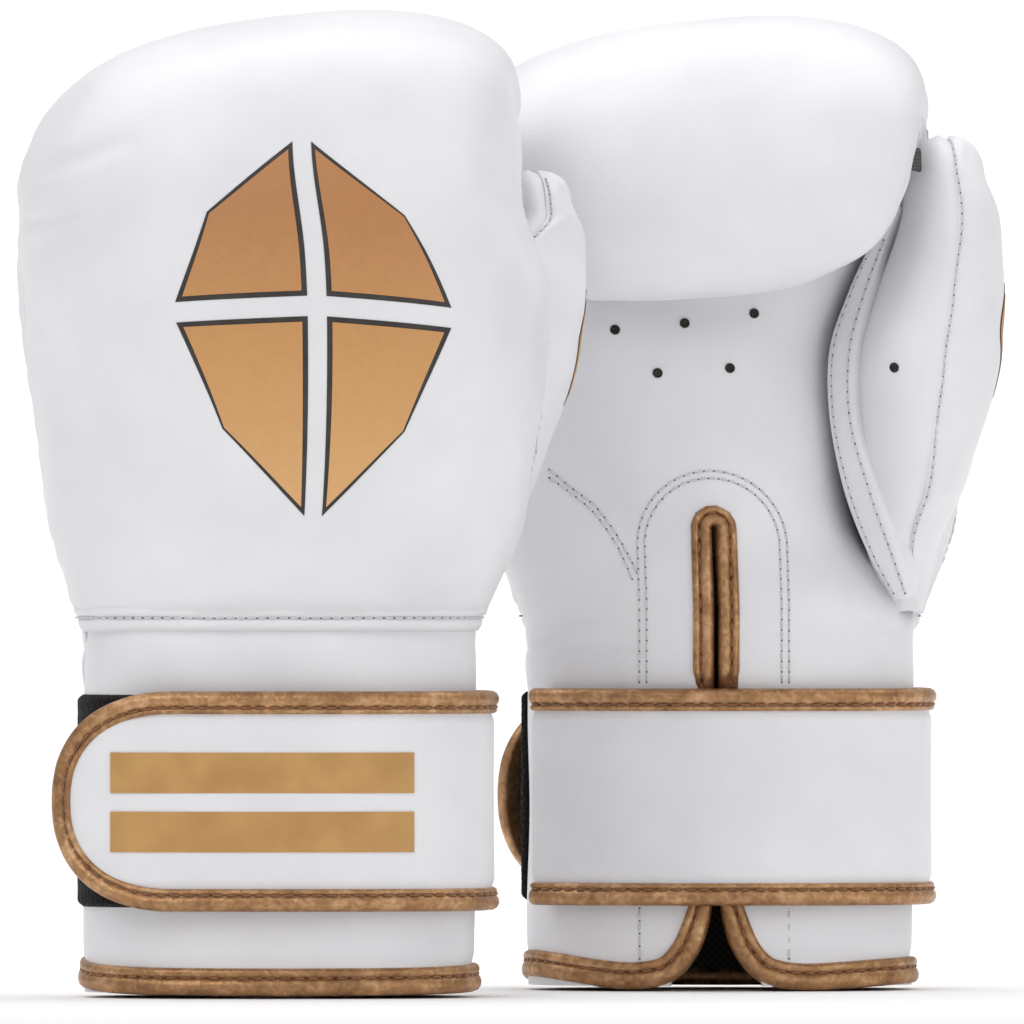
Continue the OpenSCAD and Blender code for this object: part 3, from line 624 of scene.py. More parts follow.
def panel_pull(grid):
    """How far the inner leather is drawn in: exp(-(distance / width)^2) along its two seams."""
    _, _, first, last = edge_lengths(grid)
    return 1.3 * np.exp(-(first / 2.6)**2) + 1.2 * np.exp(-(last / 2.6)**2)


cover, cover_n, cover_in = thumb_pad(-72, 80, 120, 60, cover_pull)
panel, panel_n, panel_in = thumb_pad(76, 290, 120, 66, panel_pull)
for side in SIDES:
    for name, outer, inner, stood_for in (
            ("thumb_outer", cover, cover_in, ("thumb_cover", "thumb_padding")),
            ("thumb_inner", panel, panel_in, ("thumb_panel",))):
        outer, inner = press_thumb(side, outer), press_thumb(side, inner)
        piece = make_piece(side, name, *shell(outer, inner), leather)
        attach(piece, side + "_glove")
        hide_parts(*(f"{side}_{n}" for n in stood_for))

THUMB_VENT = (54, 187)                     # one more vent hole, in the thumb's inner leather: x, z
off_vent = np.hypot(panel[..., 0] - THUMB_VENT[0], panel[..., 2] - THUMB_VENT[1])
spot = np.argmin(np.where(panel_n[..., 1] > 0.2, off_vent, np.inf))
hole_at, hole_n = panel.reshape(-1, 3)[[spot]], panel_n.reshape(-1, 3)[[spot]]
hole, hole_faces = on_each(hole_at + hole_n * VENT_STAND, hole_n, np.array([[0.0, 0, 1]]),
                           *dished_disc(VENT_R, VENT_DISH))
# The thumb's vent hole gets the same disc of painted shade
for side in SIDES:
    piece = make_piece(side, "thumb_vent_shade_disc", press_thumb(side, hole), hole_faces, vent_shade)
    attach(piece, side + "_glove")

# ======== Web of the thumb ========
# A narrow strip of leather that joins the palm to the thumb's inner piece, turned under along both
# edges and top-stitched.

# Its edges: [left x, right x, z, left y, right y]
WEB = np.array([
    [52, 57, 118, 26, 27],
    [45, 54, 130, 26, 31],
    [38, 48, 149, 26, 32],
    [34, 42, 172, 23, 28],
    [34.5, 42.5, 193, 21, 27],
    [41, 47.5, 211, 21, 26],
    [47, 52, 223, 24, 26],
    [53, 57.5, 236, 25, 27]], float)
EDGE_TURN = 1.4                            # where the turned-under edge ends, in half widths
WEB_THICK = 1.6
s = station(WEB, np.linspace(0, 1, 100)[:, None])
t = np.linspace(-EDGE_TURN, EDGE_TURN, 25)[None, :]
left_edge = np.stack([s[..., 0], s[..., 3], s[..., 2]], -1)
right_edge = np.stack([s[..., 1], s[..., 4], s[..., 2]], -1)
web = (left_edge + right_edge) / 2 + (right_edge - left_edge) / 2 * t[..., None]
down = 0.5 * t**2 + 6.5 * smooth(np.abs(t), 0.9, EDGE_TURN + 0.1)
BEHIND_WEB = (45, -200, 170)               # a point that every part of the strip faces away from
web = web - outward(web, BEHIND_WEB) * down[..., None]
web_n = outward(web, BEHIND_WEB)
for side in SIDES:
    piece = make_piece(side, "thumb_web", *shell(web, web - web_n * WEB_THICK), leather)
    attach(piece, side + "_glove")
    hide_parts(side + "_thumb_gusset")

# ======== Side seams ========
# Where the back's leather meets the palm's, both are turned in and sewn over a thin folded cord of
# the same leather, which closes the seam's valley from the wrist round the finger roll.

CORD_REACH = 9.0                           # edges further apart than this aren't sewn together
CORD_R = (1.5, 3.4)                        # the cord's least and greatest radius
CORD_SINK = 1.2                            # how deep it lies under the two edges


def tube_faces(rows, ring, capped=True):
    """Faces of a sleeve of rings, each ring closed, with a flat cap on both ends."""
    k = np.arange(ring)
    a = np.arange(rows - 1)[:, None] * ring + k
    b = np.arange(rows - 1)[:, None] * ring + (k + 1) % ring
    faces = [list(map(int, f)) for f in np.stack([a, b, b + ring, a + ring], -1).reshape(-1, 4)]
    if capped:
        faces += [list(map(int, k[::-1])), list(map(int, k + (rows - 1) * ring))]
    else:
        last = (rows - 1) * ring
        join = np.stack([k + last, (k + 1) % ring + last, (k + 1) % ring, k], -1)
        faces += [list(map(int, f)) for f in join]
    return faces


def merged(*meshes):
    """Several (points, faces) joined into one."""
    points, faces, base = [], [], 0
    for co, loops in meshes:
        points.append(np.asarray(co, float).reshape(-1, 3))
        faces += [[int(v) + base for v in f] for f in loops]
        base += len(points[-1])
    return np.concatenate(points), faces


def swept(points, across, normals, profile, closed):
    """Strip swept along a path: each (t, h) of its cross-section is t across it and h along the
    normal. A profile may also be given for each station."""
    profile = np.broadcast_to(profile, (len(points),) + profile.shape[-2:])
    grid = (points[:, None] + across[:, None] * profile[..., :1] + normals[:, None] * profile[..., 1:])
    return grid, tube_faces(len(points), profile.shape[1], not closed)


def seam_cord(col):
    """Round cord between the back's first or last column and the palm's: at each point of the back's
    edge, halfway to the nearest point of the palm's, with a radius of half the gap and a little more."""
    line, up, other = back[:, col], back_n[:, col], palm[:, col]
    apart = np.linalg.norm(line[:, None] - other[None], axis=-1)
    near, gap = other[np.argmin(apart, axis=1)], np.min(apart, axis=1)
    sewn = gap < CORD_REACH
    first = 0 if sewn.all() else len(sewn) - np.argmax(~sewn[::-1])
    middle_line = ((line + near) / 2 - up * CORD_SINK)[first:]
    t = np.gradient(middle_line, axis=0)
    t /= np.linalg.norm(t, axis=-1, keepdims=True)
    n = up[first:] - t * np.sum(up[first:] * t, axis=-1, keepdims=True)
    n /= np.linalg.norm(n, axis=-1, keepdims=True)
    turn = np.linspace(0, 2 * np.pi, 10, endpoint=False)
    radius = np.clip(gap[first:] / 2 + 0.7, *CORD_R)[:, None, None]
    ring = np.stack([np.cos(turn), np.sin(turn)], -1)[None] * radius
    return swept(middle_line, np.cross(t, n), n, ring, False)


for side in SIDES:
    piece = make_piece(side, "side_seams", *merged(seam_cord(0), seam_cord(-1)), leather)
    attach(piece, side + "_glove")

# ======== Hand lining ========
# Woven lining cloth glued over the foam inside the hand and the thumb, with the stuffed bar across
# the palm that the fingers close on. It only shows from below, through the cuff.

# Lining cloth: charcoal plain weave, the threads about 0.5 mm apart
woven, shader = new_material("charcoal_lining_weave", Roughness=0.92, Sheen_Weight=0.3)
place = add_node(woven, "TexCoord").outputs["Object"]
WEAVE = 1.2 * MM                           # real threads are 0.5 mm apart, drawn coarser
warp = add_node(woven, "TexWave", {"Vector": place, "Scale": 0.314 / WEAVE, "Distortion": 0.3},
                bands_direction="Z")
weft = add_node(woven, "TexWave", {"Vector": place, "Scale": 0.314 / WEAVE, "Distortion": 0.3},
                bands_direction="DIAGONAL")
cross = add_node(woven, "Math", {0: warp.outputs["Fac"], 1: weft.outputs["Fac"]}, operation="MAXIMUM")
grey = colour_steps(woven, cross.outputs["Value"], ((0.2, "#2c2a29"), (0.9, "#5a5654")))
thread = add_node(woven, "Bump", {"Height": cross.outputs["Value"], "Strength": 0.5,
                                  "Distance": 0.2 * MM})
dress(woven, shader, Base_Color=grey, Normal=thread.outputs["Normal"])


def lining_sheet(table, depth):
    """Grid on a table's arches at a depth inside them."""
    u = np.linspace(0, 1, 60)[:, None]
    return arch(station(table, u), np.radians(np.linspace(-88, 88, 40))[None, :], depth)


GRIP_AT, GRIP_R, GRIP_HALF = (-8, 9, 206), 6.4, 25
thumb_rings = [thumb_sheet(THUMB_ROOM, 0, 350, 50, 36, False) for _ in range(2)]
THUMB_CORE = np.array([68, 22])            # the thumb room's middle, x and y
thumb_rings[1][..., :2] += (THUMB_CORE - thumb_rings[1][..., :2]) * 0.08
x = GRIP_HALF * np.sin(np.linspace(-np.pi / 2, np.pi / 2, 24))
r = GRIP_R * (1 - (np.abs(x) / GRIP_HALF)**8)**0.5 + 0.01
a = np.linspace(0, 2 * np.pi, 20, endpoint=False)
grip = np.stack([x[:, None] + 0 * a, r[:, None] * np.cos(a), r[:, None] * np.sin(a)], -1) + GRIP_AT
for side in SIDES:
    sleeve = np.concatenate([press_thumb(side, thumb_rings[0]), press_thumb(side, thumb_rings[1])[::-1]])
    for name, parts, stood_for in (
            ("hand_lining", (shell(lining_sheet(BACK_ROOM, 0.3), lining_sheet(BACK_ROOM, 1.1)),
                             shell(lining_sheet(PALM_ROOM[2:], 0.3), lining_sheet(PALM_ROOM[2:], 1.1))),
             "hand_lining"),
            ("thumb_lining", ((sleeve, tube_faces(100, 36, False)),), "thumb_lining"),
            ("grip_bar", ((grip, tube_faces(24, 20)),), "grip_bar")):
        piece = make_piece(side, name, *merged(*parts), woven)
        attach(piece, side + "_glove")
        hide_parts(f"{side}_{stood_for}")

# ======== Thumb tie ========
# A short black knitted elastic tie that holds the thumb's tip to the finger roll. It is cut from flat
# tape, and both its ends are sewn in under the leather.

# Black knitted elastic, ribbed every millimetre
knit, shader = new_material("black_knitted_elastic", Roughness=0.85, Sheen_Weight=0.4)
place = add_node(knit, "TexCoord").outputs["Object"]
RIB = 1.0 * MM
rib = add_node(knit, "TexWave", {"Vector": place, "Scale": 0.314 / RIB, "Distortion": 1.5,
                                 "Detail Scale": 3.0}, bands_direction="Z")
dark = colour_steps(knit, rib.outputs["Fac"], ((0.2, "#0d0b0a"), (0.9, "#2b2725")))
ribbed = add_node(knit, "Bump", {"Height": rib.outputs["Fac"], "Strength": 0.6, "Distance": 0.3 * MM})
dress(knit, shader, Base_Color=dark, Normal=ribbed.outputs["Normal"])

LOCK_AT, LOCK_TURN = np.array([61, 43.5, 250.0]), np.radians(-60)
LOCK_SIZE = (9.5, 2.0, 7.4)                # length, thickness, width
w = np.linspace(-1, 1, 15)[:, None]
a = np.linspace(0, 2 * np.pi, 28, endpoint=False)[None, :]
waist = 1 - 0.12 * (1 - w**2)              # pulled a little narrower in the middle
round_x = np.sign(np.cos(a)) * np.abs(np.cos(a))**0.4
round_y = np.sign(np.sin(a)) * np.abs(np.sin(a))**0.7
local = np.stack([w * LOCK_SIZE[0] / 2 + 0 * a, round_y * LOCK_SIZE[1] / 2 + 0 * w,
                  round_x * LOCK_SIZE[2] / 2 * waist], -1)
cos, sin = np.cos(LOCK_TURN), np.sin(LOCK_TURN)
tie = np.stack([local[..., 0] * cos - local[..., 1] * sin,
                local[..., 0] * sin + local[..., 1] * cos, local[..., 2]], -1)
for side in SIDES:
    piece = make_piece(side, "thumb_tie", tie + press_thumb(side, LOCK_AT), tube_faces(15, 28), knit)
    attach(piece, side + "_glove")
    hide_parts(side + "_thumb_lock")

# ======== Cuff ========
# A padded sleeve of the same white leather, open along the palm slit, with woven cloth inside. Its
# top is sewn in under the wrist welt and runs up behind the palm's leather.

CUFF_RX, CUFF_RY, CUFF_BEND = 58.0, 37.0, 2.6
CUFF_Z = (1.6, 110.5)                      # foot and top of its leather
CUFF_THICK = 7.3
CUFF_CLOTH = (-7.6, -8.4)                  # the two faces of its lining cloth
CUFF_LIP = 5.6                             # where the leather ends, beside the slit, under its binding
SLIT_HALF, SLIT_FLARE, FLARE_TOP = 0.5, 9.0, 26.0


def oval_loop(rx, ry, start_x):
    """The cuff's oval, (|x/rx|^n + |y/ry|^n = 1), as arc length and points, round from the palm side at
    start_x by the thumb side, the back and the little-finger side."""
    phi = np.linspace(np.pi / 2, np.pi / 2 - 2 * np.pi, 7201)
    r = (np.abs(np.cos(phi) / rx)**CUFF_BEND + np.abs(np.sin(phi) / ry)**CUFF_BEND)**(-1 / CUFF_BEND)
    xy = np.stack([r * np.cos(phi), r * np.sin(phi)], -1)[:-1]
    first = np.argmin(np.abs(xy[:, 0] - start_x) + (xy[:, 1] < 0) * 1e3)
    xy = np.roll(xy, -first, axis=0)
    xy = np.concatenate([xy, xy[:1]])
    run = np.concatenate([[0], np.cumsum(np.linalg.norm(np.diff(xy, axis=0), axis=-1))])
    return run, xy


oval_run, oval_xy = oval_loop(CUFF_RX, CUFF_RY, SLIT_X)
AROUND = oval_run[-1]                      # once round the cuff
oval_t = np.gradient(oval_xy, axis=0)
oval_t /= np.linalg.norm(oval_t, axis=-1, keepdims=True)


def cuff_at(q, z, h):
    """Point and normal on the cuff: q mm round the oval from the slit's middle, towards the thumb, at
    height z and standing h off the leather."""
    q = np.asarray(q, float) % AROUND
    xy = np.stack([np.interp(q, oval_run, oval_xy[:, k]) for k in (0, 1)], -1)
    t = np.stack([np.interp(q, oval_run, oval_t[:, k]) for k in (0, 1)], -1)
    n = np.stack([-t[..., 1], t[..., 0], 0 * t[..., 0]], -1)
    n /= np.linalg.norm(n, axis=-1, keepdims=True)
    z = np.broadcast_to(z, q.shape)
    return np.concatenate([xy, z[..., None]], -1) + n * np.broadcast_to(h, q.shape)[..., None], n


def slit_half(z):
    """Half the slit's opening at height z: narrow, and spreading under the strap."""
    return SLIT_HALF + SLIT_FLARE * np.maximum(0, 1 - z / FLARE_TOP)**1.6


def cuff_sheet(h, rows=70, cols=260):
    """Grid round the cuff from one side of the slit to the other, gently uneven."""
    z = np.linspace(*CUFF_Z, rows)[:, None] + np.zeros((1, cols))
    lip = slit_half(z) + CUFF_LIP
    q = lip + np.linspace(0, 1, cols)[None, :] * (AROUND - 2 * lip)
    wave = (0.35 * np.sin(q / 19 + z / 23) * np.sin(z / 15 + 0.8) + 0.22 * np.sin(q / 8.3 - z / 11)
            - 0.7 * np.exp(-((z - 9.8) / 2.2)**2) - 0.5 * np.exp(-((z - 108) / 2.5)**2))
    return cuff_at(q, z, h + (wave if h == 0 else 0))[0]


for side in SIDES:
    piece = make_piece(side, "cuff", *shell(cuff_sheet(0), cuff_sheet(-CUFF_THICK)), leather)
    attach(piece, side + "_glove")
    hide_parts(side + "_cuff_cover", side + "_cuff_padding")
    cloth = [cuff_sheet(h, 30, 120) for h in CUFF_CLOTH]
    piece = make_piece(side, "cuff_lining", *shell(*cloth), woven)
    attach(piece, side + "_glove")
    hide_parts(side + "_cuff_lining")

# ======== Wrist welt ========
# A folded strip of the leather between the hand's back and the cuff, with a line of stitches along
# its lower edge. It fades into the side seams.

# Its cross-section: (z, how far it stands off the cuff)
WELT = np.array([(108.6, -0.5), (109, 1.1), (110.5, 2.1), (112.0, 2.4), (112.8, 1.9), (113.6, 2.9),
                 (114.6, 3.5), (115.8, 3.5), (116.6, 2.2), (116.6, -6), (108.6, -6)])
WELT_ENDS = (71.0, AROUND - 74.0)          # where it starts and ends round the cuff
q = np.linspace(*WELT_ENDS, 300)[:, None]
fade = smooth(q, WELT_ENDS[0], WELT_ENDS[0] + 12) * (1 - smooth(q, WELT_ENDS[1] - 12, WELT_ENDS[1]))
ripple = 0.18 * np.sin(q / 2.9) * np.sin(q / 9.1)
stand = np.where(WELT[:, 1] > 0, WELT[:, 1] * (0.25 + 0.75 * fade) + ripple * fade, WELT[:, 1])
welt = cuff_at(q + 0 * stand, WELT[:, 0] + 0 * stand, stand)[0]
for side in SIDES:
    piece = make_piece(side, "wrist_welt", welt, tube_faces(300, len(WELT)), leather, 70)
    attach(piece, side + "_glove")
    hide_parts(side + "_wrist_welt")

# ======== Edge bindings ========
# One strip of bronze leather is rolled over the raw edge all the way: down one side of the slit,
# round the hem and up the other side. A thinner roll of the same strip runs along outside it.

# Bronze foil-coated leather: creased grain, lighter and darker in broad random patches, with painted shade
# darkening the folds and painted highlight lightening their ridges
bronze, shader = new_material("bronze_foil_leather", Metallic=0.7, IOR=1.5)
place = add_node(bronze, "TexCoord").outputs["Object"]
FOIL_GRAIN = 1.3 * MM                      # real grain is 0.6 mm, drawn coarser so that it shows
cells = add_node(bronze, "TexVoronoi", {"Vector": place, "Scale": 1 / FOIL_GRAIN}, feature="SMOOTH_F1")
folds = add_node(bronze, "TexNoise", {"Vector": place, "Scale": 1 / (2.2 * MM), "Detail": 4,
                                      "Distortion": 0.6})
broad_patches = add_node(bronze, "TexNoise", {"Vector": place, "Scale": 1 / (9 * MM), "Detail": 3})
# The colour follows the folds: painted shade in their valleys and painted highlight on their ridges, plus
# broad random patches
fold_shade_plus_patches = add_node(bronze, "Math", {0: folds.outputs["Fac"], 1: broad_patches.outputs["Fac"]}, operation="ADD")
fold_shade_level = add_node(bronze, "Math", {0: fold_shade_plus_patches.outputs["Value"], 1: 0.5}, operation="MULTIPLY")
shaded_bronze_colour = colour_steps(bronze, fold_shade_level.outputs["Value"], ((0.3, "#7f5a3c"), (0.66, "#d0a67e"),
                                                        (0.5, "#aa8058")))
shine = add_node(bronze, "MapRange", {"Value": broad_patches.outputs["Fac"], "To Min": 0.3, "To Max": 0.5})
grainy = add_node(bronze, "Bump", {"Height": cells.outputs["Distance"], "Strength": 0.45,
                                   "Distance": 0.25 * MM})
creased = add_node(bronze, "Bump", {"Height": folds.outputs["Fac"], "Strength": 0.5,
                                    "Distance": 0.5 * MM, "Normal": grainy.outputs["Normal"]})
dress(bronze, shader, Base_Color=shaded_bronze_colour, Roughness=shine.outputs["Result"],
      Normal=creased.outputs["Normal"])


def glove_front(q, z):
    """Point and normal of the leather near the slit: the cuff, and the palm over it from z 92 up."""
    point, n = cuff_at(q, z, 0.0)
    signed = np.where(q > AROUND / 2, q - AROUND, q)
    near = (np.abs(signed) < 34) & (z > 89)
    if np.any(near):
        on_palm, palm_up = lay_on(palm, palm_n, SLIT_X + signed[near], z[near])
        weight = smooth(z[near], 89, 97)[:, None]
        point[near] = point[near] * (1 - weight) + on_palm * weight
        n[near] = n[near] * (1 - weight) + palm_up * weight
    return point, n / np.linalg.norm(n, axis=-1, keepdims=True)


# Its path from the slit's top down and round half the hem: (distance round the cuff, z)
HALF_PATH = np.array([(0.55, 139.4), (0.6, 120), (0.6, 90), (0.6, 60), (0.7, 40), (0.9, 30), (1.7, 22),
                      (4.2, 13.5), (8.5, 6.8), (13, 3), (18, 1.2), (24, 0.35), (30, 0.2), (40, 0.7),
                      (55, 1.5), (72, 1.9), (90, 1.6), (120, 1.0), (AROUND / 2, 0.8)])
u = np.linspace(0, 1, 900)
half_path = station(HALF_PATH, u)
far_half = half_path[::-1] * [-1, 1] + [AROUND, 0]
far_half[:, 1] += 2.2 * np.exp(-((far_half[:, 0] - AROUND + 62) / 26)**2)
top_turn = np.linspace(0, np.pi, 26)[1:-1]
over_top = np.stack([-0.55 * np.cos(top_turn), 139.4 + 0.55 * np.sin(top_turn)], -1)
route = np.concatenate([half_path, far_half[1:], over_top])
step = np.linalg.norm(np.diff(route, axis=0, append=route[:1]), axis=-1)
step = np.minimum(step, 5)
along = np.concatenate([[0], np.cumsum(step)])
want = np.linspace(0, along[-1], 1500, endpoint=False)
edge_q = np.interp(want, along[:-1], np.unwrap(route[:, 0], period=AROUND))
edge_z = np.interp(want, along[:-1], route[:, 1])
edge_p, edge_n = glove_front(edge_q % AROUND, edge_z)
edge_t = np.roll(edge_p, -2, axis=0) - np.roll(edge_p, 2, axis=0)
edge_t /= np.linalg.norm(edge_t, axis=-1, keepdims=True)
edge_in = np.cross(edge_t, edge_n)
inward = np.sum(edge_in * np.array([0, 0, 1.0]), axis=-1)[np.argmax(np.abs(edge_q - AROUND / 2) < 20)]
edge_in *= np.sign(inward)

# Cross-sections of its two rolls: (inwards from the edge, off the leather)
ROLL = np.array([(5.5, -0.4), (5.1, 0.9), (4.2, 1.7), (2.9, 2.1), (1.5, 1.9), (0.5, 1.0), (0, -0.6),
                 (0, -8.4), (0.5, -9.8), (2, -10.3), (4.5, -10), (5.4, -9.2)])
RIM = np.array([(5.0, -0.6), (5.3, 0.75), (5.9, 1.35), (6.8, 1.5), (7.7, 1.15), (8.2, 0.2),
                (8.2, -0.9)])
slim = 1 - 0.22 * smooth(edge_z, 14, 34)                       # narrower beside the slit
gather = 1 + 0.16 * np.sin(want / 1.9) * np.exp(-((edge_z - 143) / 12)**2) + 0.05 * np.sin(want / 3.1)
roll_profile = ROLL[None] * np.stack([slim, np.ones_like(slim)], -1)[:, None]
roll_profile[..., 1] = np.where(roll_profile[..., 1] > 0, roll_profile[..., 1] * gather[:, None],
                                roll_profile[..., 1])
deep = roll_profile[..., 1] < -5
roll_profile[..., 1] = np.where(deep & (edge_z > 104)[:, None], roll_profile[..., 1] * 0.75,
                                roll_profile[..., 1])
rim_profile = RIM[None] * np.stack([slim, np.ones_like(slim)], -1)[:, None]
for side in SIDES:
    for name, profile, stood_for in (("edge_binding", roll_profile, ("hem_binding", "slit_lips")),
                                     ("edge_rim", rim_profile, ("slit_binding",))):
        piece = make_piece(side, name, *swept(edge_p, edge_in, edge_n, profile, True), bronze, 60)
        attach(piece, side + "_glove")
        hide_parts(*(f"{side}_{n}" for n in stood_for))

# ======== Fastener on the cuff ========
# A patch of black loop tape, which the strap's end presses on. It is sewn round its edge to the back
# of the cuff and its little-finger side.

# Loop tape: a dense black nap
nap, shader = new_material("black_loop_nap", Roughness=0.95, Sheen_Weight=0.08, Specular_IOR_Level=0.15)
place = add_node(nap, "TexCoord").outputs["Object"]
tuft = add_node(nap, "TexVoronoi", {"Vector": place, "Scale": 1 / (0.9 * MM)})
curl = add_node(nap, "TexNoise", {"Vector": place, "Scale": 1 / (0.7 * MM), "Detail": 4})
black = colour_steps(nap, curl.outputs["Fac"], ((0.3, "#070606"), (0.75, "#1f1b19")))
loops = add_node(nap, "Bump", {"Height": tuft.outputs["Distance"], "Strength": 0.9,
                               "Distance": 0.6 * MM})
dress(nap, shader, Base_Color=black, Normal=loops.outputs["Normal"])


def cuff_run(x):
    """Distance round the cuff of the back's point at x."""
    back_half = oval_xy[:, 1] < 0
    return np.interp(-x, -oval_xy[back_half, 0], oval_run[back_half])


PATCH_Z = (27, 90)
PATCH_Q = (cuff_run(-11.0), AROUND - 79.0)                     # its two ends, round the cuff
z, q = np.meshgrid(np.linspace(*PATCH_Z, 70), np.linspace(*PATCH_Q, 90), indexing="ij")
rim = np.minimum.reduce([q - q.min(), q.max() - q, z - z.min(), z.max() - z])
tufts = 0.12 * np.sin(q * 3.1 + 2 * np.sin(z * 1.7)) * np.sin(z * 2.9)
outer = cuff_at(q, z, 1.9 * smooth(rim, -0.5, 1.6) + 0.2 + tufts)[0]
inner = cuff_at(q, z, -0.6)[0]
for side in SIDES:
    piece = make_piece(side, "loop_patch", *shell(outer, inner), nap)
    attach(piece, side + "_glove")
    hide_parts(side + "_loop_patch")

# ======== Strap ========
# A wide strap of the white leather, sewn on over the palm, round the thumb side and closing on the
# back with a round end. Its edges are bound in bronze: a thick roll, a stitched groove, a thin roll.

STRAP_LOW, STRAP_HIGH, STRAP_T = 26.0, 91.0, 3.0
STRAP_MID = (STRAP_LOW + STRAP_HIGH) / 2
STRAP_OFF = (2.8, 3.8)                     # how far it stands off the cuff, in x and y
END_OFF = 15.5                             # how much further its free end stands away
strap_angle = np.linspace(150, -145, 12001)
grow = np.where(strap_angle < -90, END_OFF, 0) + STRAP_OFF[0]
c, s = np.cos(np.radians(strap_angle)), np.sin(np.radians(strap_angle))
strap_xy = np.stack([(CUFF_RX + grow) * np.sign(c) * np.abs(c)**(2 / CUFF_BEND),
                     (CUFF_RY + STRAP_OFF[1]) * np.sign(s) * np.abs(s)**(2 / CUFF_BEND)], -1)
strap_run = np.concatenate([[0], np.cumsum(np.linalg.norm(np.diff(strap_xy, axis=0), axis=-1))])
STRAP_LEN = strap_run[-1]


def strap_mm(angle):
    """Distance along the strap of an angle round the cuff."""
    return float(np.interp(-angle, -strap_angle, strap_run))


def strap_at(p, z, h):
    """Point and normal on the strap, p mm along it at height z, h off its inner face."""
    p = np.asarray(p, float)
    ahead, behind = np.minimum(p + 1.5, STRAP_LEN), np.maximum(p - 1.5, 0)
    at, fore, back_of = (np.stack([np.interp(v, strap_run, strap_xy[:, k]) for k in (0, 1)], -1)
                         for v in (p, ahead, behind))
    t = fore - back_of
    n = np.stack([-t[..., 1], t[..., 0], 0 * t[..., 0]], -1)
    n /= np.linalg.norm(n, axis=-1, keepdims=True)
    z = np.broadcast_to(z, p.shape)
    return np.concatenate([at, z[..., None]], -1) + n * np.broadcast_to(h, p.shape)[..., None], n


END_LONG, END_HIGH, END_BEND = 37.0, 32.5, 2.2
STRAP_INSET = 0.9                          # the leather ends this far inside the binding
MIDDLE_MM = strap_mm(0)


def strap_sheet(start, end_at, h):
    """Grid of the strap between two distances along it, h off its inner face. The outer face is gently
    uneven, with a groove along its edges. A round end is a superellipse END_LONG long."""
    v = np.linspace(-1, 1, 60)[:, None]
    z = STRAP_MID + v * (END_HIGH - STRAP_INSET)
    last = end_at + 0 * v
    if end_at == STRAP_LEN:
        last = last - END_LONG + (END_LONG - STRAP_INSET) * (1 - np.abs(v)**END_BEND)**(1 / END_BEND)
    p = start + np.linspace(0, 1, 190)[None, :] * (last - start)
    from_edge = END_HIGH - np.abs(z - STRAP_MID)
    soft = 0.25 * np.sin(p / 21) * np.sin(z / 13) - 0.8 * np.exp(-((from_edge - 6.6) / 1.5)**2)
    return strap_at(p, z + 0 * p, h + (soft if h > 0 else 0))[0]


def hinge_point(side, angle):
    """Frame point beside a fold of the strap, at an angle round the cuff."""
    spot = strap_at(strap_mm(angle), STRAP_MID, 0.0)[0]
    return tuple(float(v) for v in to_frame(side, spot))


FOLD = (42, 22)                            # angles round the cuff where the strap's fold starts and ends


def bend_across(side, piece, over_palm):
    """Works out the frame points beside the fold at the thumb side's palm edge or back edge, which go
    unused, and bakes the piece's transform into its mesh.
    """
    if over_palm:
        hinge_point(side, FOLD[0])
        hinge_point(side, FOLD[1])
        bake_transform(piece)
    else:
        hinge_point(side, -FOLD[1])
        hinge_point(side, -FOLD[0])
        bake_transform(piece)


def round_end(p_from, count):
    """Path in (distance along, z) out along the lower edge, round the superellipse end and back."""
    straight = np.linspace(p_from, STRAP_LEN - END_LONG, count)[:-1]
    turn = np.linspace(-np.pi / 2, np.pi / 2, count)
    bx = np.abs(np.cos(turn))**(2 / END_BEND) * END_LONG
    bz = np.sign(turn) * np.abs(np.sin(turn))**(2 / END_BEND) * END_HIGH
    return np.concatenate([np.stack([straight, 0 * straight + STRAP_MID - END_HIGH], -1),
                           np.stack([STRAP_LEN - END_LONG + bx, STRAP_MID + bz], -1),
                           np.stack([straight[::-1], 0 * straight + STRAP_MID + END_HIGH], -1)])


# Cross-sections of its bindings: (inwards from the edge, off the inner face)
STRAP_ROLL = np.array([(4.9, 2.9), (4.3, 3.7), (3.2, 4.35), (1.9, 4.45), (0.7, 3.9), (0, 2.8),
                       (-0.15, 1.2), (0.1, -0.2), (1.0, -0.7), (4, -0.7), (6.5, -0.4), (6.4, 2.4)])
STRAP_RIM = np.array([(4.7, 2.2), (4.9, 3.3), (5.4, 3.85), (6.1, 3.75), (6.6, 3.1), (6.6, 2.2)])
PATH_STEP = 0.8


def strap_path(route):
    """Points, directions into the strap and normals along a (distance, z) path, evenly stepped."""
    run = np.concatenate([[0], np.cumsum(np.linalg.norm(np.diff(route, axis=0), axis=-1))])
    even = np.linspace(0, run[-1], int(run[-1] / PATH_STEP))
    p, z = np.interp(even, run, route[:, 0]), np.interp(even, run, route[:, 1])
    point, n = strap_at(p, z, 0.0)
    t = np.gradient(point, axis=0)
    t /= np.linalg.norm(t, axis=-1, keepdims=True)
    into = np.cross(t, n)
    into *= np.sign(into[0, 2] * (STRAP_MID - point[0, 2]))
    return point, into, n, even


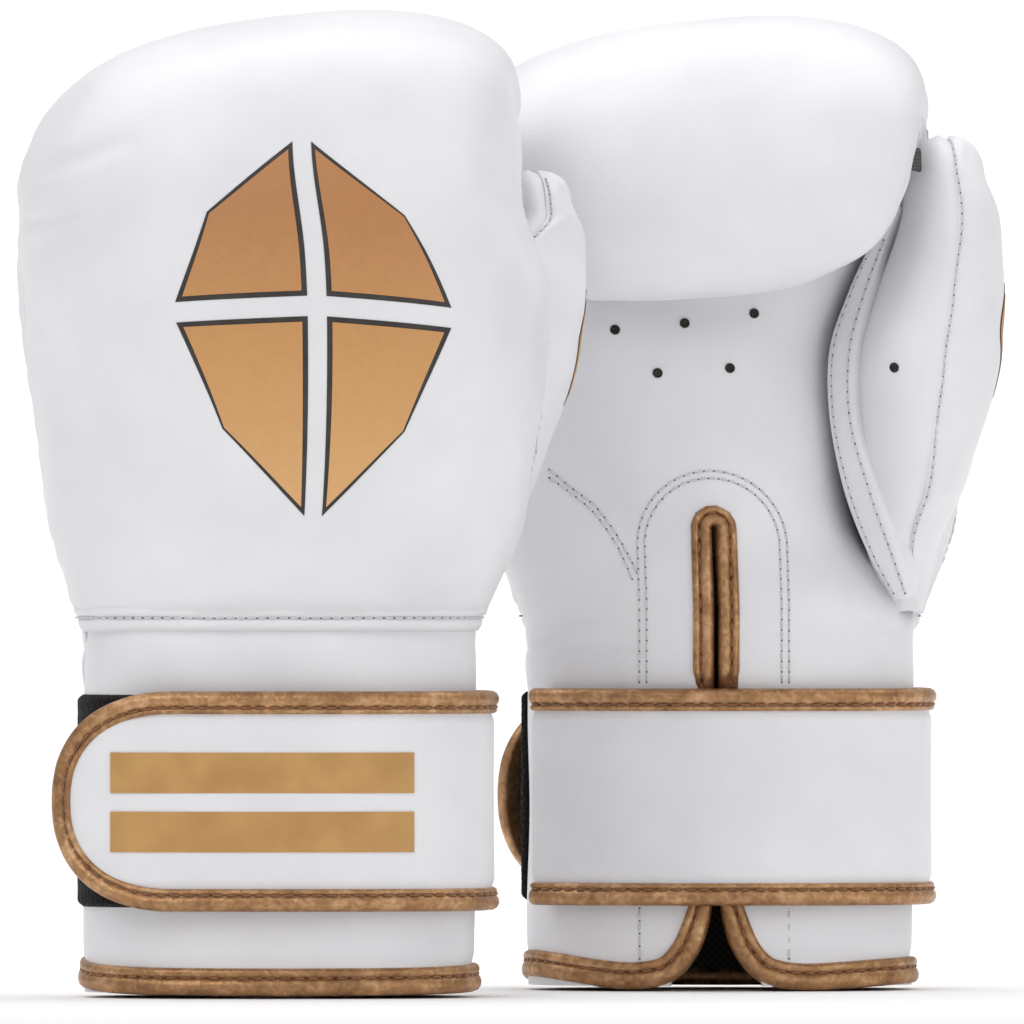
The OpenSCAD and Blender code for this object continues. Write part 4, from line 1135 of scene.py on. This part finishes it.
low_edge = np.array([(0.0, STRAP_LOW), (MIDDLE_MM, STRAP_LOW)])
high_edge = np.array([(MIDDLE_MM, STRAP_HIGH), (0.0, STRAP_HIGH)])
strap_edges = {"palm": [strap_path(low_edge), strap_path(high_edge)],
               "flap": [strap_path(round_end(MIDDLE_MM, 90))]}
for side in SIDES:
    for part, start, end_at, names in (
            ("palm", 0.0, MIDDLE_MM, ("strap_anchor",)),
            ("flap", MIDDLE_MM, STRAP_LEN, ("strap_side", "strap_flap"))):
        faces_of = [strap_sheet(start, end_at, h) for h in (STRAP_T, 0.0)]
        piece = make_piece(side, f"strap_{part}", *shell(*faces_of), leather)
        bend_across(side, piece, part == "palm")
        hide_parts(*(f"{side}_{n}" for n in names))
        for kind, profile in (("roll", STRAP_ROLL), ("rim", STRAP_RIM)):
            strips = []
            for point, into, n, even in strap_edges[part]:
                uneven = 1 + 0.035 * np.sin(even / 1.7) + 0.03 * np.sin(even / 2.9)
                shaped = np.repeat(profile[None], len(point), axis=0)
                shaped[..., 1] = np.where(shaped[..., 1] > 3, 3 + (shaped[..., 1] - 3) * uneven[:, None],
                                          shaped[..., 1])
                strips.append(swept(point, into, n, shaped, False))
            piece = make_piece(side, f"strap_{part}_{kind}", *merged(*strips), bronze, 60)
            bend_across(side, piece, part == "palm")
            if kind == "roll":
                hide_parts(*(f"{side}_{n}_binding" for n in names))

# ======== Fastener and print on the flap ========
# Black hook tape sewn to the inner face of the strap's end, and two plain bars printed in tan ink
# on its outer face.

# Hook tape: rows of small stiff hooks on a woven base
hooks, shader = new_material("black_hook_tape", Roughness=0.6)
place = add_node(hooks, "TexCoord").outputs["Object"]
rows_of = add_node(hooks, "TexWave", {"Vector": place, "Scale": 0.314 / (1.4 * MM)}, bands_direction="Z")
posts = add_node(hooks, "TexVoronoi", {"Vector": place, "Scale": 1 / (1.4 * MM)})
ink = colour_steps(hooks, posts.outputs["Distance"], ((0.1, "#3a3532"), (0.6, "#100e0d")))
pins = add_node(hooks, "Bump", {"Height": rows_of.outputs["Fac"], "Strength": 0.8, "Distance": 0.5 * MM})
dress(hooks, shader, Base_Color=ink, Normal=pins.outputs["Normal"])

# Tan print: matte ink that lets the leather's grain through
print_ink, shader = new_material("tan_screen_print", Roughness=0.55)
place = add_node(print_ink, "TexCoord").outputs["Object"]
patchy = add_node(print_ink, "TexNoise", {"Vector": place, "Scale": 1 / (12 * MM), "Detail": 3})
speck = add_node(print_ink, "TexVoronoi", {"Vector": place, "Scale": 1 / GRAIN}, feature="SMOOTH_F1")
tan = colour_steps(print_ink, patchy.outputs["Fac"], ((0.3, "#b4874c"), (0.7, "#c3965a")))
rough = add_node(print_ink, "Bump", {"Height": speck.outputs["Distance"], "Strength": 0.35,
                                     "Distance": 0.15 * MM})
dress(print_ink, shader, Base_Color=tan, Normal=rough.outputs["Normal"])


def strap_patch(p_from, p_to, z_from, z_to, h_in, h_out, cols, rows):
    """Flat closed patch on the strap between two heights off its inner face."""
    p = np.linspace(p_from, p_to, cols)[None, :] + np.zeros((rows, 1))
    z = np.linspace(z_from, z_to, rows)[:, None] + np.zeros((1, cols))
    return shell(strap_at(p, z, h_out)[0], strap_at(p, z, h_in)[0])


BARS_AT, BARS_Z = (-56, -124), ((43.5, 55.5), (61.0, 73.0))    # the bars' angles and heights
HOOKS_AT, HOOKS_Z = (-98, -122), (38, 79)
INK_HIGH = 0.42                            # how far the ink stands off the leather
for side in SIDES:
    bars = [strap_patch(*(strap_mm(a) for a in BARS_AT), *z, STRAP_T - 0.5, STRAP_T + INK_HIGH, 120, 14)
            for z in BARS_Z]
    piece = make_piece(side, "flap_print", *merged(*bars), print_ink)
    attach(piece, side + "_strap_flap")
    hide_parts(side + "_strap_label")
    pad = strap_patch(*(strap_mm(a) for a in HOOKS_AT), *HOOKS_Z, -1.4, 0.2, 40, 40)
    piece = make_piece(side, "hook_patch", *pad, hooks)
    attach(piece, side + "_strap_flap")
    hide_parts(side + "_hook_patch")

# ======== Emblem ========
# Four tan facets with dark outlines printed on the back of the hand, and a small lozenge on the
# outside of the thumb: a plain generic mark.


def mottled(name, size, detail, low, high, **values):
    """A matt material whose colour wanders between two hex values, in blots of a size in mm."""
    material, shader = new_material(name, **values)
    place = add_node(material, "TexCoord").outputs["Object"]
    blot = add_node(material, "TexNoise", {"Vector": place, "Scale": 1 / (size * MM), "Detail": detail})
    dress(material, shader, Base_Color=colour_steps(material, blot.outputs["Fac"],
                                                    ((0.3, low), (0.7, high))))
    return material


# Outline ink: matt, nearly black
line_ink = mottled("dark_outline_print", 6, 3, "#2a2624", "#3b3633", Roughness=0.6)

# Shaded tan ink: browner at the top of the emblem and paler at its foot
fade_ink, shader = new_material("tan_shaded_print", Roughness=0.5)
place = add_node(fade_ink, "TexCoord").outputs["Object"]
height = add_node(fade_ink, "SeparateXYZ", {"Vector": place}).outputs["Z"]
level = add_node(fade_ink, "MapRange", {"Value": height, "From Min": 0.145, "From Max": 0.245})
blot = add_node(fade_ink, "TexNoise", {"Vector": place, "Scale": 1 / (3 * MM), "Detail": 4})
mix = add_node(fade_ink, "Math", {0: blot.outputs["Fac"], 1: 0.22}, operation="MULTIPLY")
total = add_node(fade_ink, "Math", {0: level.outputs["Result"], 1: mix.outputs["Value"]}, operation="ADD")
shaded = colour_steps(fade_ink, total.outputs["Value"], ((0.1, "#d9a970"), (1.0, "#b57d4c"),
                                                         (0.6, "#c8935a")))
speck = add_node(fade_ink, "TexVoronoi", {"Vector": place, "Scale": 1 / GRAIN}, feature="SMOOTH_F1")
rough = add_node(fade_ink, "Bump", {"Height": speck.outputs["Distance"], "Strength": 0.5,
                                    "Distance": 0.2 * MM})
dress(fade_ink, shader, Base_Color=shaded, Normal=rough.outputs["Normal"])


def grid_at(grid, row, col):
    """Values of a grid at fractional rows and columns, mixed from the four nearest."""
    i = np.clip(row.astype(int), 0, grid.shape[0] - 2)
    j = np.clip(col.astype(int), 0, grid.shape[1] - 2)
    s, t = (row - i)[..., None], (col - j)[..., None]
    return ((grid[i, j] * (1 - t) + grid[i, j + 1] * t) * (1 - s)
            + (grid[i + 1, j] * (1 - t) + grid[i + 1, j + 1] * t) * s)


def facet(grid, normals, corners, border, rise):
    """Closed patch between four corners (row, column) of a surface grid, grown by a border in mm."""
    c = np.array(corners, float)
    s, t = np.linspace(0, 1, 36)[:, None, None], np.linspace(0, 1, 30)[None, :, None]
    at = (c[3] * (1 - t) + c[2] * t) * (1 - s) + (c[0] * (1 - t) + c[1] * t) * s
    point = grid_at(grid, at[..., 0], at[..., 1])
    n = grid_at(normals, at[..., 0], at[..., 1])
    n /= np.linalg.norm(n, axis=-1, keepdims=True)
    up = np.gradient(point, axis=0)
    side_way = np.gradient(point, axis=1)
    up /= np.linalg.norm(up, axis=-1, keepdims=True)
    side_way /= np.linalg.norm(side_way, axis=-1, keepdims=True)
    grown = point + border * ((2 * s - 1) * up + (2 * t - 1) * side_way)
    return shell(grown + n * rise, grown - n * 0.4)


def on_back(angle, u):
    """Row and column on the back's leather of an angle across it and a fraction of the way up."""
    bent = np.degrees(np.arctan(np.sign(angle) * np.abs(np.tan(np.radians(angle)))**0.8))
    return u * (BACK_GRID[0] - 1), (bent + 90) / 180 * (BACK_GRID[1] - 1)


# Corners of the facets: (angle across the back, fraction of the way from wrist to roll)
FACETS = [[(-11, .31), (2.5, .37), (2.5, .245), (-19, .24)],
          [(5.5, .37), (23, .31), (33, .24), (5.5, .245)],
          [(-19, .225), (2.5, .23), (2.5, .09), (-10, .15)],
          [(5.5, .23), (33, .225), (22, .15), (5.5, .09)]]
THUMB_MARK = [(60, 27), (50, 32), (38, 27), (50, 22)]   # corners on the thumb's outer leather
for side in SIDES:
    marks = [(back, back_n, [on_back(*c) for c in f]) for f in FACETS]
    marks.append((press_thumb(side, cover), cover_n, THUMB_MARK))
    for name, material, border, rise in (("emblem_outline", line_ink, 0.0, 0.18),
                                         ("emblem_print", fade_ink, -1.6, 0.34)):
        piece = make_piece(side, name, *merged(*(facet(g, n, c, border, rise) for g, n, c in marks)),
                           material)
        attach(piece, side + "_glove")
        if name == "emblem_print":
            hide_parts(side + "_back_emblem")

# ======== Stitches ========
# Lock stitches in pale grey thread along the leather's seams and in tan thread along the bindings,
# each one a short bead that dips into its needle holes, with a dark hole at each end.

# Polyester thread: two twisted plies, with a slight lustre
thread_white = mottled("pale_grey_thread", 0.8, 2, "#c3c3c7", "#dededf", Roughness=0.6, Sheen_Weight=0.2)
thread_tan = mottled("brown_thread", 0.8, 2, "#6b4526", "#94653a", Roughness=0.6, Sheen_Weight=0.2)
# The shadow in a needle hole
hole_dark = mottled("needle_hole", 1.5, 2, "#6f6e70", "#8b8a8d", Roughness=0.9)


def bead(length, thick):
    """One stitch: five six-sided rings along x, arched so that its ends dip under, with both ends
    closed by a hexagon."""
    x = np.array([-0.5, -0.38, 0.0, 0.38, 0.5]) * length
    lift = np.array([-0.55, 0.25, 0.45, 0.25, -0.55]) * thick
    wide = np.array([0.45, 0.95, 1.0, 0.95, 0.45]) * thick / 2
    a = np.arange(6) * np.pi / 3
    ring = np.stack([x[:, None] + 0 * a, wide[:, None] * np.cos(a),
                     lift[:, None] + wide[:, None] * 0.8 * np.sin(a)], -1)
    return ring.reshape(-1, 3), tube_faces(5, 6)


def pit(radius):
    """A needle hole: a low six-sided double cone."""
    a = np.arange(6) * np.pi / 3
    ring = np.stack([radius * np.cos(a), radius * np.sin(a), 0 * a], -1)
    points = np.concatenate([ring, [(0, 0, 0.12), (0, 0, -0.5)]])
    k = np.arange(6)
    m = (k + 1) % 6
    return points, [[int(p), int(q), 6] for p, q in zip(k, m)] + [[int(q), int(p), 7] for p, q in zip(k, m)]


def stitched(points, normals, pitch, thick, rise=0.1):
    """Stitches and needle holes at an even pitch along a line on a surface."""
    run = np.concatenate([[0], np.cumsum(np.linalg.norm(np.diff(points, axis=0), axis=-1))])
    count = max(2, int(run[-1] / pitch))
    at = (np.arange(count) + 0.5) * run[-1] / count
    ends = np.arange(count + 1) * run[-1] / count

    def read(values, where):
        return np.stack([np.interp(where, run, values[:, k]) for k in range(3)], -1)

    t = np.gradient(points, axis=0)
    n, n_end = read(normals, at), read(normals, ends)
    beads = on_each(read(points, at) + n * rise, n, read(t, at), *bead(pitch * 0.8, thick))
    pits = on_each(read(points, ends) + n_end * rise * 0.3, n_end, read(t, ends), *pit(thick * 0.62))
    return beads, pits


def on_palm_line(corners, count=160):
    """Points and normals on the palm's leather along a smooth line of (x, z) corners."""
    line = station(np.array(corners, float), np.linspace(0, 1, count))
    return lay_on(palm, palm_n, line[:, 0], line[:, 1])


def column_line(grid, normals, col, first, last):
    """Points and normals along a grid's column, which may lie between two."""
    row = np.linspace(first, last, 200)
    return grid_at(grid, row, np.full(200, float(col))), grid_at(normals, row, np.full(200, float(col)))


def slit_reinforcement(inset):
    """The line of stitches over the slit: up one side, round and down the other, as (x, z)."""
    half, middle, shoulder = 22.5 - inset, -2.1, 134.0
    turn = np.radians(np.linspace(180, 0, 25))
    arc = [(middle + half * np.cos(t), shoulder + half * np.sin(t)) for t in turn]
    return [(middle - half, z) for z in (93, 107, 121)] + arc + [(middle + half, z) for z in (121, 107, 93)]


cover_rows, cover_cols = cover.shape[:2]
white_lines = [on_palm_line(slit_reinforcement(0.0), 300), on_palm_line(slit_reinforcement(2.2), 300),
               on_palm_line([(-50.5, 157), (-44, 151.5), (-36.6, 145.5), (-30, 136), (-25, 126)]),
               on_palm_line([(-50.5, 154.5), (-43, 149), (-36.6, 143), (-30.5, 133.5), (-26.5, 124)])]
for x in (-24.6, 20.4):                    # the same lines again below the strap
    white_lines.append(cuff_at(np.full(40, x - SLIT_X) % AROUND, np.linspace(25, 9.8, 40), 0.15))
q = np.linspace(WELT_ENDS[0] + 4, WELT_ENDS[1] - 4, 500)
white_lines.append(cuff_at(q, 112.8, 2.35))
web_rows, web_cols = web.shape[:2]
for edge in (6.8, web_cols - 7.8):
    white_lines.append(column_line(web, web_n, edge, 3, web_rows - 12))
thumb_lines = [column_line(cover, cover_n, cover_cols - 2.6, 6, cover_rows - 14),
               column_line(cover, cover_n, 2.6, 30, cover_rows - 24)]
white_lines.append(column_line(back, back_n, BACK_GRID[1] - 3.2, 6, 92))
SEAM_STITCH = (3.1, 0.62)                  # pitch and thread thickness
BINDING_STITCH = (4.2, 0.8, 0.25)          # the same, and how high it lies
GROOVE, STRAP_GROOVE = (5.25, 0.55), (4.75, 3.25)              # between the rolls: inwards, height
groove = edge_p + edge_in * (GROOVE[0] * slim)[:, None] + edge_n * GROOVE[1]
binding_beads = stitched(np.concatenate([groove, groove[:1]]), np.concatenate([edge_n, edge_n[:1]]),
                         *BINDING_STITCH)[0]
for side in SIDES:
    lines = [stitched(p, n, *SEAM_STITCH) for p, n in white_lines]
    lines += [stitched(press_thumb(side, p), n, *SEAM_STITCH) for p, n in thumb_lines]
    for name, sets, material, slot_name in (
            ("seam_stitches", [b for b, _ in lines], thread_white, "white_leather"),
            ("seam_holes", [h for _, h in lines], hole_dark, "white_leather"),
            ("binding_stitches", [binding_beads], thread_tan, "bronze_binding")):
        piece = make_piece(side, name, *merged(*sets), material, 80)
        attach(piece, side + "_glove")
    for part, edges in strap_edges.items():
        sets = []
        for point, into, n, _ in edges:
            line = point + into * STRAP_GROOVE[0] + n * STRAP_GROOVE[1]
            sets.append(stitched(line, n, *BINDING_STITCH)[0])
        piece = make_piece(side, f"strap_{part}_stitches", *merged(*sets), thread_tan, 80)
        bend_across(side, piece, part == "palm")

# ======== Floor, light and camera ========
# A plain pale sweep of paper with a low curved back, large soft lights, and a long lens level with
# the pair's middle.

low, high = (np.array(corner) for corner in cad_box)
middle = (low + high) / 2
paper, shader = new_material("white_paper", Roughness=0.9)
shader.inputs["Base Color"].default_value = hex_linear("#fbfbfb")
bend = np.radians(np.linspace(0, 90, 17))
radius, near_edge, far_edge = 0.42, -6.0, 2.5
profile = np.array([(near_edge, 0)] + [(far_edge + radius * np.sin(a), radius * (1 - np.cos(a)))
                                       for a in bend])
span = np.array([-5.0, 5.0])
sweep = np.array([[(x, y, z) for x in span] for y, z in profile]).reshape(-1, 3)
strips = [(2 * k, 2 * k + 1, 2 * k + 3, 2 * k + 2) for k in range(len(profile) - 1)]
mesh = bpy.data.meshes.new("floor")
mesh.from_pydata(sweep.tolist(), [], strips)
mesh.shade_smooth()
mesh.materials.append(paper)
floor = bpy.data.objects.new("floor", mesh)
bpy.context.scene.collection.objects.link(floor)


def soft_light(name, place, aim, size, watts):
    """A square area light at a place, turned to an aim."""
    data = bpy.data.lights.new(name, "AREA")
    data.energy, data.size = watts, size
    lamp = bpy.data.objects.new(name, data)
    bpy.context.scene.collection.objects.link(lamp)
    lamp.location = place
    lamp.rotation_mode = "QUATERNION"
    to = (aim[0] - place[0], aim[1] - place[1], aim[2] - place[2])
    lamp.rotation_quaternion = Vector(to).to_track_quat("-Z", "Y")


soft_light("key_light", (-0.9, -1.6, 1.5), middle, 1.2, 11)
soft_light("fill_light", (1.2, -1.5, 0.6), middle, 1.4, 6)
soft_light("top_light", (0, 0.9, 2.4), (0, 1.2, 0), 2.5, 6)
soft_light("backdrop_light", (0, 0.9, 2.2), (0, 2.9, 0.2), 3.0, 50)
world = bpy.data.worlds.new("studio")
world.use_nodes = True
world.node_tree.nodes["Background"].inputs["Color"].default_value = hex_linear("#ffffff")
world.node_tree.nodes["Background"].inputs["Strength"].default_value = 0.52
bpy.context.scene.world = world
bpy.context.scene.view_settings.view_transform = "Standard"

DISTANCE = 8.0                             # how far away the camera stands
FRAME_WIDTH = 0.307                        # what the frame spans at the pair's middle
lens = bpy.data.cameras.new("camera")
lens.sensor_width = 36
lens.lens = lens.sensor_width * DISTANCE / FRAME_WIDTH
camera = bpy.data.objects.new("camera", lens)
bpy.context.scene.collection.objects.link(camera)
camera.location = (0, -DISTANCE, 0.1442)
camera.rotation_euler = (np.pi / 2, 0, 0)
bpy.context.scene.camera = camera
